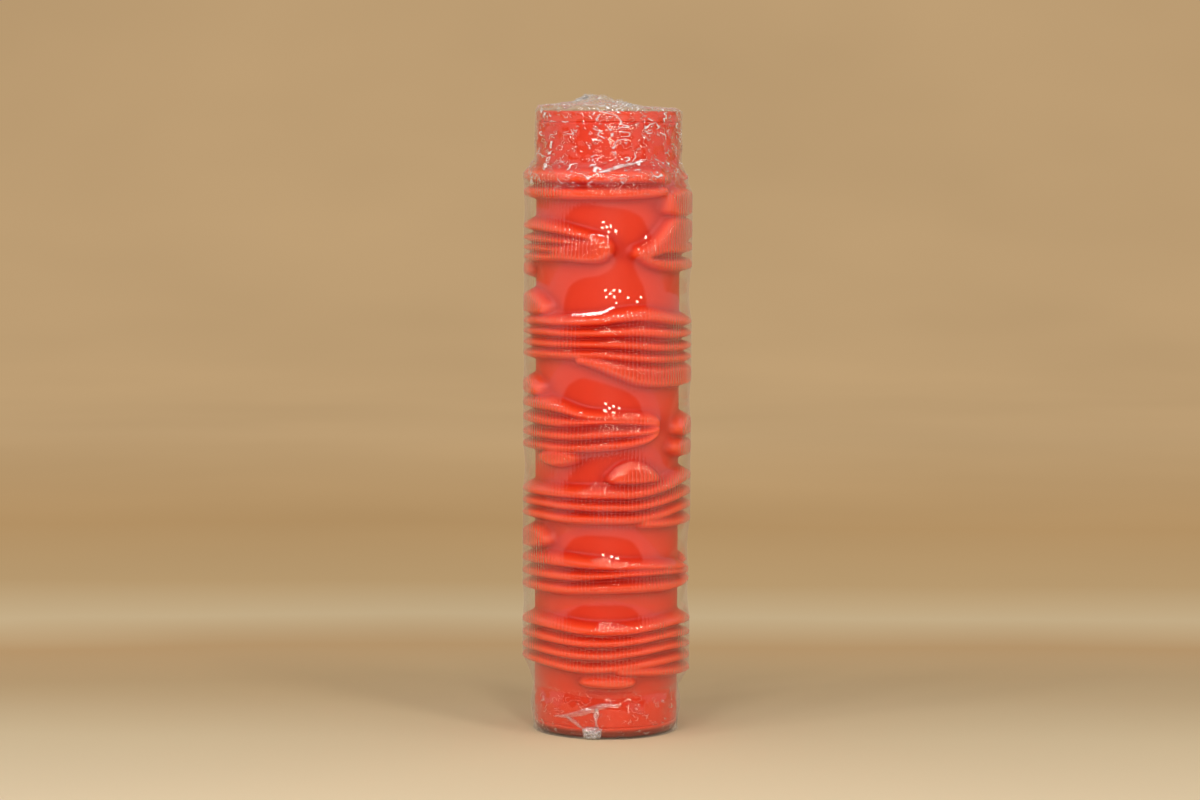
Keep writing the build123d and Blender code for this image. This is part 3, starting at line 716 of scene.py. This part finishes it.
# %% Pleats and creases
PLEAT_COUNT = 130
PLEAT_HEIGHT = 0.15 * MM
PLEAT_SHARPNESS = 3.0
PLEAT_DRIFT = 5.0
PLEAT_DRIFT_SIZE = 8.333 * MM
GATHER_SIZE = 14.286 * MM
GATHER_LOW, GATHER_HIGH = 0.38, 0.58
GATHER_LEAST = 0.15
CREASE_SQUEEZE = (1.0, 1.0, 1.6)
# Where crease lines bunch, at the front of the neck; their matt white there is partly painted glint.
BUNCH_PLACE = (1 * MM, -21 * MM, BODY_HIGH - 1 * MM)
BUNCH_REACH = 9 * MM
BUNCH_GAIN = 0.3
# The size of the curls, the step between them and the width of a line as shares of the noise's height, how
# rare a line is, and how often it breaks.
FINE_CREASES = (3.4 * MM, 0.16, 0.028, 0.50, 1.6)
BOLD_CREASES = (4.0 * MM, 0.18, 0.038, 0.58, 1.3)


def film_pleats(tree, coords, tight):
    """Upright pleats, gathered in patches: how high they stand, and the normal that they give."""
    place = add(tree, "ShaderNodeSeparateXYZ", [coords])
    turn = add(tree, "ShaderNodeMath", [place.outputs["X"], place.outputs["Y"]], operation="ARCTAN2")
    drift = add(tree, "ShaderNodeTexNoise", {"Vector": coords, "Scale": 1 / PLEAT_DRIFT_SIZE, "Detail": 1.0})
    phase = add(tree, "ShaderNodeMath", [drift.outputs["Fac"], PLEAT_DRIFT], operation="MULTIPLY")
    count = add(tree, "ShaderNodeMath", [turn, PLEAT_COUNT, phase], operation="MULTIPLY_ADD")
    wave = add(tree, "ShaderNodeMath", [count], operation="SINE")
    upper = add(tree, "ShaderNodeMath", [wave, 0.5, 0.5], operation="MULTIPLY_ADD")
    sharp = add(tree, "ShaderNodeMath", [upper, PLEAT_SHARPNESS], operation="POWER")
    patches = add(tree, "ShaderNodeTexNoise", {"Vector": coords, "Scale": 1 / GATHER_SIZE, "Detail": 1.0})
    gathered = add(tree, "ShaderNodeMapRange", {
        "Value": patches.outputs["Fac"], "From Min": GATHER_LOW, "From Max": GATHER_HIGH,
        "To Min": GATHER_LEAST, "To Max": 1.0})
    strong = add(tree, "ShaderNodeMath", [tight, gathered], operation="MULTIPLY")
    raised = add(tree, "ShaderNodeMath", [sharp, strong], operation="MULTIPLY")
    bump = add(tree, "ShaderNodeBump", {"Height": sharp, "Strength": strong, "Distance": PLEAT_HEIGHT})
    return raised, bump


def crease_lines(tree, coords, bunched, size, step, width, rarity, breaks):
    """Curled lines from 0 to 1, broken into short runs. They are the level lines of a noise."""
    level = add(tree, "ShaderNodeVectorMath", [coords, CREASE_SQUEEZE], operation="MULTIPLY")
    waves = add(tree, "ShaderNodeTexNoise", {
        "Vector": level, "Scale": 1 / size, "Detail": 1.0, "Roughness": 0.4})
    contour = add(tree, "ShaderNodeMath", [waves.outputs["Fac"], step / 2], operation="PINGPONG")
    line = add(tree, "ShaderNodeMapRange", {
        "Value": contour, "From Max": width, "To Min": 1.0, "To Max": 0.0}, interpolation_type="SMOOTHSTEP")
    pieces = add(tree, "ShaderNodeTexNoise", {"Vector": coords, "Scale": breaks / size, "Detail": 0.0})
    more = add(tree, "ShaderNodeMath", [bunched, BUNCH_GAIN, pieces.outputs["Fac"]], operation="MULTIPLY_ADD")
    run = add(tree, "ShaderNodeMapRange", {"Value": more, "From Min": rarity, "From Max": rarity + 0.1})
    return add(tree, "ShaderNodeMath", [line, run], operation="MULTIPLY")


print("pleats", round(2 * math.pi * CREST / PLEAT_COUNT / MM, 2), "mm apart on the crests")

# %% Polyolefin
CREASED_NECK = 24.5 * MM
CREASED_FOOT = 11 * MM
CREASE_FADE = 5 * MM
CREASE_HEIGHT = 0.10 * MM
FOOT_CREASES = 0.6
PLAIN_CREASES = 0.03
PUCKER = 0.9 * MM
PUCKER_HEIGHT = 0.065 * MM
BILLOW = 4.25 * MM
BILLOW_HEIGHT = 0.7 * MM
FILM_IOR = 1.5
GLOSS_PER_PLEAT = 1.6
GLOSS_PER_CREASE = 4.0
GLOSS_PER_WHITE = 6.0
# The slant at which a change starts and ends, from 0 where the film faces the eye to 1 where it is edge-on,
# and what it comes to: the share of gloss that is left, and the share of white, partly haze and partly
# painted sheen.
EDGE_GLOSS = (0.72, 0.95, 0.15)
EDGE_HAZE_AND_SHEEN = (0.5, 0.9, 0.14)
# A matt white, partly the film's milkiness and partly painted glint and sheen, and how much of it bold
# creases and other creases get.
MILKY_AND_PAINTED_WHITE = "#F8F4F8"
BOLD_MILK_AND_GLINT = 0.75
CREASE_MILK_AND_GLINT = 0.12


def film_creases(tree, coords, tight, normal):
    """Puckers, billows and creases over a normal. Gives how creased and how boldly creased a point is, and
    the new normal."""
    height = add(tree, "ShaderNodeSeparateXYZ", [coords]).outputs["Z"]
    neck_end = BODY_HIGH - CREASED_NECK
    foot_end = BODY_LOW + CREASED_FOOT
    at_neck = add(tree, "ShaderNodeMapRange", {
        "Value": height, "From Min": neck_end, "From Max": neck_end + CREASE_FADE})
    at_foot = add(tree, "ShaderNodeMapRange", {
        "Value": height, "From Min": foot_end + CREASE_FADE, "From Max": foot_end,
        "To Min": 0.0, "To Max": FOOT_CREASES})
    spare = add(tree, "ShaderNodeMath", [at_neck, at_foot], operation="MAXIMUM")
    rough = add(tree, "ShaderNodeMath", [spare, PLAIN_CREASES], operation="MAXIMUM")
    grit = add(tree, "ShaderNodeTexNoise", {"Vector": coords, "Scale": 1 / PUCKER, "Detail": 1.0})
    puckers = add(tree, "ShaderNodeBump", {
        "Height": grit.outputs["Fac"], "Strength": tight, "Distance": PUCKER_HEIGHT, "Normal": normal})
    waves = add(tree, "ShaderNodeTexNoise", {"Vector": coords, "Scale": 1 / BILLOW, "Detail": 0.5})
    billows = add(tree, "ShaderNodeBump", {
        "Height": waves.outputs["Fac"], "Strength": rough, "Distance": BILLOW_HEIGHT, "Normal": puckers})
    away = add(tree, "ShaderNodeVectorMath", [coords, BUNCH_PLACE], operation="DISTANCE")
    bunched = add(tree, "ShaderNodeMapRange", {
        "Value": away.outputs["Value"], "From Max": BUNCH_REACH, "To Min": 1.0, "To Max": 0.0})
    fine = crease_lines(tree, coords, bunched, *FINE_CREASES)
    everywhere = crease_lines(tree, coords, bunched, *BOLD_CREASES)
    bold = add(tree, "ShaderNodeMath", [everywhere, at_neck], operation="MULTIPLY")
    lines = add(tree, "ShaderNodeMath", [fine, bold], operation="MAXIMUM")
    creased = add(tree, "ShaderNodeMath", [lines, spare], operation="MULTIPLY")
    bump = add(tree, "ShaderNodeBump", {
        "Height": lines, "Strength": spare, "Distance": CREASE_HEIGHT, "Normal": billows})
    return creased, bold, bump


def film_material():
    """Clear shrink film: see-through, with a sharp reflection that pleats, creases and crumples strengthen,
    and matt white where it is strained, which on the creases is partly painted glint, and painted sheen where
    it is edge-on."""
    material, tree = new_material("clear polyolefin shrink film")
    coords = add(tree, "ShaderNodeTexCoord").outputs["Object"]
    tight = add(tree, "ShaderNodeAttribute", attribute_name="tight").outputs["Fac"]
    whitened = add(tree, "ShaderNodeAttribute", attribute_name="whitened").outputs["Fac"]
    pleats, normal = film_pleats(tree, coords, tight)
    creased, bold, normal = film_creases(tree, coords, tight, normal)

    fresnel = add(tree, "ShaderNodeFresnel", {"IOR": FILM_IOR, "Normal": normal})
    twice = add(tree, "ShaderNodeMath", [fresnel, 2.0], operation="MULTIPLY")
    more = add(tree, "ShaderNodeMath", [fresnel, 1.0], operation="ADD")
    sheet = add(tree, "ShaderNodeMath", [twice, more], operation="DIVIDE")
    layers = 1.0
    for mark, gloss in ((pleats, GLOSS_PER_PLEAT), (creased, GLOSS_PER_CREASE), (whitened, GLOSS_PER_WHITE)):
        layers = add(tree, "ShaderNodeMath", [mark, gloss, layers], operation="MULTIPLY_ADD")
    gathered = add(tree, "ShaderNodeMath", [sheet, layers], operation="MULTIPLY")
    facing = add(tree, "ShaderNodeLayerWeight", {"Blend": 0.5}).outputs["Facing"]
    slanted, edge_on, left = EDGE_GLOSS
    fading = add(tree, "ShaderNodeMapRange", {
        "Value": facing, "From Min": slanted, "From Max": edge_on, "To Min": 1.0, "To Max": left})
    back = add(tree, "ShaderNodeNewGeometry").outputs["Backfacing"]
    front = add(tree, "ShaderNodeMath", [1.0, back], operation="SUBTRACT")
    seen = add(tree, "ShaderNodeMath", [front, fading], operation="MULTIPLY")
    share = add(tree, "ShaderNodeMath", [gathered, seen], operation="MULTIPLY", use_clamp=True)
    clear = add(tree, "ShaderNodeBsdfTransparent")
    gloss = add(tree, "ShaderNodeBsdfGlossy", {"Roughness": 0.03, "Normal": normal})
    both = add(tree, "ShaderNodeMixShader", [share, clear, gloss])

    # Painted sheen: matt white, partly milky haze, that grows where the film turns edge-on.
    slanted, edge_on, most = EDGE_HAZE_AND_SHEEN
    edge_haze_and_sheen = add(tree, "ShaderNodeMapRange", {
        "Value": facing, "From Min": slanted, "From Max": edge_on, "To Min": 0.0, "To Max": most})
    # Matt white on the creases, partly the film's real milkiness and partly painted glint; bold creases get
    # most.
    strain_and_glint = add(tree, "ShaderNodeMath", [bold, BOLD_MILK_AND_GLINT, CREASE_MILK_AND_GLINT], operation="MULTIPLY_ADD")
    whitened_haze_and_sheen = add(tree, "ShaderNodeMath", [whitened, edge_haze_and_sheen], operation="ADD")
    milky_glint_and_sheen = add(tree, "ShaderNodeMath", [creased, strain_and_glint, whitened_haze_and_sheen], operation="MULTIPLY_ADD")
    white = add(tree, "ShaderNodeMath", [milky_glint_and_sheen, front], operation="MULTIPLY")
    milky_and_painted_white = add(tree, "ShaderNodeBsdfDiffuse", {"Color": linear(MILKY_AND_PAINTED_WHITE)})
    whole = add(tree, "ShaderNodeMixShader", [white, both, milky_and_painted_white])
    add(tree, "ShaderNodeOutputMaterial", {"Surface": whole})
    print(material.name, "has", len(tree.nodes), "nodes")
    return material


clear_film = film_material()

# %% Film
FILM_SEGMENTS = 181
FINE_ROW = 0.4 * MM
ROW = 0.75 * MM
FOOT_BAND = 14 * MM
NECK_BAND = 15 * MM
WALL = 0.06 * MM
AIR_GAP = 0.15 * MM


def film_profile():
    """The open tube that the film starts as: fine rows at both bands, where it creases most."""
    bands = [(BODY_LOW, BODY_LOW + FOOT_BAND, FINE_ROW, RIM),
             (BODY_LOW + FOOT_BAND, BODY_HIGH - NECK_BAND, ROW, FILM_OUT),
             (BODY_HIGH - NECK_BAND, BODY_HIGH, FINE_ROW, RIM)]
    points = []
    for low, high, step, radius in bands:
        rows = round((high - low) / step)
        points += [(radius, low + (high - low) * k / rows) for k in range(rows + (high == BODY_HIGH))]
    return points


def give_wall(obj, thickness):
    """Turns a sheet into a closed wall of a real thickness."""
    solidify = obj.modifiers.new("wall", "SOLIDIFY")
    solidify.thickness = thickness
    solidify.offset = 1.0
    mesh = bpy.data.meshes.new_from_object(obj.evaluated_get(bpy.context.evaluated_depsgraph_get()))
    obj.modifiers.clear()
    obj.data = mesh


film = turned_mesh("film_tube", film_profile(), FILM_SEGMENTS, closed=False)
run_nodes(film, drawn_film, {
    "Moulding": sleeve,
    "Base radius": BASE,
    "Ray start": RAY_START,
    "Air gap": AIR_GAP,
    "Band radius": CREST - 0.05 * MM,
    "Band blur": 0.35 * MM,
    "Pull": 0.012 * MM,
    "End pull": 0.06 * MM,
    "Foot end": BODY_LOW + 14 * MM,
    "Neck end": BODY_HIGH - 16 * MM,
    "Passes": 480,
    "Steps in a pass": 4,
    "Crease size": 4.0 * MM,
    "Crease depth": 0.6 * MM,
    "Crease top": BODY_HIGH - 13 * MM,
    "Crease run": 11 * MM,
    "Loose foot": 1.6 * MM,
    "Foot bottom": BODY_LOW,
    "Foot middle": BODY_LOW + 8 * MM,
    "Foot top": BODY_LOW + 15 * MM,
    "Foot folds": 9 * MM,
    "Material": clear_film,
})
give_wall(film, WALL)
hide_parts("film_side")
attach(film, "roller")

# %% [markdown]
# ## The ruffle over the top
# Above the rim nothing holds the film, so the heat gathers it into a crumpled crown round a small opening. It
# has more width than it needs there, and the spare width stands in radial folds that run into sharp little
# facets. It could be sculpted, but a crater of rings from the rim to the opening, pushed down by a folded
# field, gives both. It never rises past the solid ruffle, and it slumps on the right as the real one does.

# %% Ruffle tree
# How far the folds lean to one side per metre of rise, how far to the left the slump starts as a share of the
# radius, and how much of a drop goes inwards.
FOLD_LEAN = 300.0
SLUMP_START = -0.3
DRAW_IN = 0.5


def ruffle_tree():
    """Folds a crater of rings: radial pleats from its spare width, and crumpled facets over them."""
    tree, given = geometry_tree(
        "film gathered over the top",
        Float=["Rim height", "Rise", "Pleats", "Pleat depth", "Facet size", "Facet depth", "Slump",
               "Whitening and sparkle"])
    position = add(tree, "GeometryNodeInputPosition")
    outward, radius, rise = cylinder_parts(tree, position)
    height = add(tree, "ShaderNodeSeparateXYZ", [position]).outputs["Z"]
    above = add(tree, "ShaderNodeMath", [height, given["Rim height"]], operation="SUBTRACT")
    share = add(tree, "ShaderNodeMath", [above, given["Rise"]], operation="DIVIDE")
    spread = add(tree, "ShaderNodeVectorMath", {0: outward, "Scale": given["Pleats"]}, operation="SCALE")
    lean = add(tree, "ShaderNodeVectorMath", {0: rise, "Scale": FOLD_LEAN}, operation="SCALE")
    around = add(tree, "ShaderNodeVectorMath", [spread, lean], operation="ADD")
    wave = add(tree, "ShaderNodeTexNoise", {"Vector": around, "Scale": 1.0, "Detail": 1.0})
    centred = add(tree, "ShaderNodeMath", [wave.outputs["Fac"], 0.5], operation="SUBTRACT")
    ridged = add(tree, "ShaderNodeMath", [centred], operation="ABSOLUTE")
    pleat = add(tree, "ShaderNodeMath", [ridged, given["Pleat depth"]], operation="MULTIPLY")
    facets = crease_field(tree, position, given["Facet size"])
    facet = add(tree, "ShaderNodeMath", [facets, given["Facet depth"], pleat], operation="MULTIPLY_ADD")
    rightward = add(tree, "ShaderNodeSeparateXYZ", [outward]).outputs["X"]
    tilt = add(tree, "ShaderNodeMapRange", {"Value": rightward, "From Min": SLUMP_START, "From Max": 1.0})
    slump = add(tree, "ShaderNodeMath", [tilt, given["Slump"], facet], operation="MULTIPLY_ADD")
    drop = add(tree, "ShaderNodeMath", [slump, share], operation="MULTIPLY")
    lowered = add(tree, "ShaderNodeMath", [height, drop], operation="SUBTRACT")
    least = add(tree, "ShaderNodeMath", [lowered, given["Rim height"]], operation="MAXIMUM")
    pulled = add(tree, "ShaderNodeMath", [drop, -DRAW_IN, radius], operation="MULTIPLY_ADD")
    up = add(tree, "ShaderNodeCombineXYZ", {"Z": least})
    # The whitened facet edges are partly the crumpled film's milkiness and partly painted sparkle.
    white = add(tree, "ShaderNodeMath", [facets, given["Whitening and sparkle"]], operation="MULTIPLY")
    whitened = add(tree, "GeometryNodeStoreNamedAttribute", {
        "Geometry": given["Geometry"], "Name": "whitened", "Value": white})
    moved = add(tree, "GeometryNodeSetPosition", {
        "Geometry": whitened, "Position": point_at(tree, outward, pulled, up)})
    return end_tree(tree, given, moved)


gathered_top = ruffle_tree()

# %% Ruffle
RUFFLE_SEGMENTS = 280
RUFFLE_ROWS = 34
OPENING = 7.0 * MM
# The crater's slope: how far in from the rim, and how high, as shares of the way and of the rise.
CRATER = [(0.0, 0.0), (0.05, 0.33), (0.72, 0.55), (1.0, 1.0)]


def crater_profile():
    """From the rim in to the opening, with the solid ruffle's shoulder and slope."""
    rise = RUFFLE_TOP - BODY_HIGH - WALL
    points = []
    for row in range(RUFFLE_ROWS + 1):
        share = row / RUFFLE_ROWS
        index = max(i for i in range(len(CRATER) - 1) if CRATER[i][0] <= share)
        (start, low), (end, high) = CRATER[index], CRATER[index + 1]
        lift = low + (high - low) * (share - start) / (end - start)
        points.append((RIM - WALL + (OPENING - RIM) * share, BODY_HIGH + rise * lift))
    return points


ruffle = turned_mesh("film_ruffle", crater_profile(), RUFFLE_SEGMENTS, closed=False)
run_nodes(ruffle, gathered_top, {
    "Rim height": BODY_HIGH,
    "Rise": RUFFLE_TOP - BODY_HIGH,
    "Pleats": 5.0,
    "Pleat depth": 5.0 * MM,
    "Facet size": 2.6 * MM,
    "Facet depth": 1.4 * MM,
    "Slump": 2.4 * MM,
    "Whitening and sparkle": 0.12,
    "Material": clear_film,
})
give_wall(ruffle, WALL)
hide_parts("film_top_ruffle")
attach(ruffle, "roller")

# %% [markdown]
# ## The hem underneath
# Under the lower cap the film is drawn in flat and the roller stands on it. It gathers in short radial pleats
# that get deeper towards the opening. They press flat against the table, so they may rise only the thickness
# of the solid hem. A flat ring whose points a noise lifts is all that it takes.

# %% Hem
HEM_SEGMENTS = 240
HEM_ROWS = 12
HEM_OPENING = 12.5 * MM


def hem_tree():
    """Lifts the points of a flat ring into radial pleats."""
    tree, given = geometry_tree("film gathered under the foot",
                                Float=["Pleats", "Pleat height", "Rim radius", "Opening"])
    position = add(tree, "GeometryNodeInputPosition")
    outward, radius, _ = cylinder_parts(tree, position)
    inward = add(tree, "ShaderNodeMapRange", {
        "Value": radius, "From Min": given["Rim radius"], "From Max": given["Opening"]})
    spread = add(tree, "ShaderNodeVectorMath", {0: outward, "Scale": given["Pleats"]}, operation="SCALE")
    wave = add(tree, "ShaderNodeTexNoise", {"Vector": spread, "Scale": 1.0, "Detail": 1.0})
    depth = add(tree, "ShaderNodeMath", [inward, given["Pleat height"]], operation="MULTIPLY")
    lift = add(tree, "ShaderNodeMath", [wave.outputs["Fac"], depth], operation="MULTIPLY")
    up = add(tree, "ShaderNodeCombineXYZ", {"Z": lift})
    moved = add(tree, "GeometryNodeSetPosition", {"Geometry": given["Geometry"], "Offset": up})
    return end_tree(tree, given, moved)


hem_rows = [(HEM_OPENING + (RIM - WALL - HEM_OPENING) * k / HEM_ROWS, WALL) for k in range(HEM_ROWS + 1)]
hem = turned_mesh("film_hem", hem_rows, HEM_SEGMENTS, closed=False)
run_nodes(hem, hem_tree(), {
    "Pleats": 9.0,
    "Pleat height": 0.12 * MM,
    "Rim radius": RIM,
    "Opening": HEM_OPENING,
    "Material": clear_film,
})
give_wall(hem, WALL)
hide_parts("film_bottom_hem")
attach(hem, "roller")

# %% [markdown]
# ## Folds, creases and the knot
# Low on the front the film was loose, so the heat laid a long fold of it flat against the roller, with a
# crease and a tuck that run down from it. The end of the weld shrank into a small hard knot beside the table,
# and a long crease runs slantwise across the neck. All five are scraps of the same film, whitened by the
# strain. They could be bump in the film's material, but they stand out and catch light at their edges, so
# each is a grid between two lines, and a tree lays it on the film that is already there.

# %% Scrap tree
LEAST_WHITE = 0.4


def scrap_tree():
    """Lays a grid on a target and wrinkles it outwards, most where its attribute "body" is 1."""
    tree, given = geometry_tree(
        "scrap laid on the film", Object=["Film"],
        Float=["Ray start", "Least radius", "Lift", "Wrinkle size", "Wrinkle height", "Clearance"])
    position = add(tree, "GeometryNodeInputPosition")
    outward, _, rise = cylinder_parts(tree, position)
    under = surface_radius(tree, given["Film"], outward, rise, given["Ray start"], given["Least radius"])
    body = add(tree, "GeometryNodeInputNamedAttribute", {"Name": "body"})
    wrinkles = crease_field(tree, position, given["Wrinkle size"])
    height = add(tree, "ShaderNodeMath", [
        wrinkles, given["Wrinkle height"], given["Lift"]], operation="MULTIPLY_ADD")
    padded = add(tree, "ShaderNodeMath", [height, body, under], operation="MULTIPLY_ADD")
    clear = add(tree, "ShaderNodeMath", [padded, given["Clearance"]], operation="ADD")
    white = add(tree, "GeometryNodeInputNamedAttribute", {"Name": "whitened"})
    uneven = add(tree, "ShaderNodeMath", [wrinkles, LEAST_WHITE], operation="ADD")
    patchy = add(tree, "ShaderNodeMath", [uneven, white], operation="MULTIPLY")
    whitened = add(tree, "GeometryNodeStoreNamedAttribute", {
        "Geometry": given["Geometry"], "Name": "whitened", "Value": patchy})
    moved = add(tree, "GeometryNodeSetPosition", {
        "Geometry": whitened, "Position": point_at(tree, outward, clear, rise)})
    return end_tree(tree, given, moved)


laid_scrap = scrap_tree()

# %% Scraps of film
SCRAP_COLUMNS = 70
SCRAP_ROWS = 30
BODY_FALL = 0.5
WHITE_FALL = 0.3
SCRAP_CLEARANCE = 0.05 * MM
# The upper and the lower line of each scrap, as points of degrees to the right of the front and mm up.
FOLD = ([(-43, 6.1), (-30, 7.2), (-17, 9.0), (-5, 10.6), (3, 10.8), (12, 10.2)],
        [(-43, 5.9), (-30, 5.9), (-17, 7.0), (-5, 8.8), (3, 9.7), (12, 10.1)])
CREASE = ([(-8.4, 3.3), (-7.9, 5.3), (-9.2, 7.0), (-7.3, 9.4)],
          [(-5.2, 3.3), (-6.6, 5.3), (-4.6, 7.6), (-6.6, 9.4)])
TUCK = ([(-32, 6.5), (-24.4, 5.5), (-17.9, 3.5)], [(-32, 6.4), (-25.4, 4.5), (-17.9, 2.7)])
SLANT = ([(-8, 162.9), (0, 164.0), (8, 165.1), (29, 166.3)],
         [(-8, 162.6), (0, 163.0), (8, 164.1), (29, 166.1)])
KNOT = ([(-18.5, 3.0), (-14, 3.8), (-8, 3.7), (-2.5, 3.2)],
        [(-17.5, 0.3), (-13, 0.15), (-8, 0.15), (-4, 0.3)])
# Each scrap's lines, how white it is, its lift, and the size and height of its wrinkles.
SCRAPS = {
    "film_fold": (FOLD, 0.16, 0.10 * MM, 1.5 * MM, 0.6 * MM),
    "film_crease": (CREASE, 0.22, 0.10 * MM, 0.8 * MM, 0.6 * MM),
    "film_tuck": (TUCK, 0.16, 0.10 * MM, 1.0 * MM, 0.3 * MM),
    "film_slant": (SLANT, 0.45, 0.20 * MM, 1.6 * MM, 0.3 * MM),
    "film_knot": (KNOT, 0.40, 0.30 * MM, 0.9 * MM, 1.8 * MM),
}


def along(line, share):
    """A point on a polyline of (degrees, mm) points, at a share of the way through its list."""
    place = share * (len(line) - 1)
    index = min(int(place), len(line) - 2)
    (a0, h0), (a1, h1) = line[index], line[index + 1]
    step = place - index
    return a0 + (a1 - a0) * step, h0 + (h1 - h0) * step


def scrap(name, top, under, whitening):
    """A grid between two lines, with attributes for how far it stands out and how white it is."""
    verts, bodies, whites = [], [], []
    for row in range(SCRAP_ROWS + 1):
        up = row / SCRAP_ROWS
        for column in range(SCRAP_COLUMNS + 1):
            share = column / SCRAP_COLUMNS
            (a0, h0), (a1, h1) = along(under, share), along(top, share)
            turn, height = math.radians(a0 + (a1 - a0) * up), (h0 + (h1 - h0) * up) * MM
            verts.append((FILM_OUT * math.sin(turn), -FILM_OUT * math.cos(turn), height))
            middle = math.sin(math.pi * up) * math.sin(math.pi * share)
            bodies.append(middle ** BODY_FALL)
            whites.append(whitening * middle ** WHITE_FALL)
    wide = SCRAP_COLUMNS + 1
    faces = [(r * wide + c, r * wide + c + 1, (r + 1) * wide + c + 1, (r + 1) * wide + c)
             for r in range(SCRAP_ROWS) for c in range(SCRAP_COLUMNS)]
    obj = smooth_mesh(name, verts, faces)
    for label, values in (("body", bodies), ("whitened", whites)):
        obj.data.attributes.new(label, "FLOAT", "POINT").data.foreach_set("value", values)
    return obj


for name, ((top, under), whitening, lift, wrinkle, wrinkle_height) in SCRAPS.items():
    piece = scrap(name, top, under, whitening)
    run_nodes(piece, laid_scrap, {
        "Film": film,
        "Ray start": RAY_START,
        "Least radius": BASE + AIR_GAP + WALL,
        "Lift": lift,
        "Wrinkle size": wrinkle,
        "Wrinkle height": wrinkle_height,
        "Clearance": SCRAP_CLEARANCE,
        "Material": clear_film,
    })
    give_wall(piece, WALL)
    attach(piece, "roller")
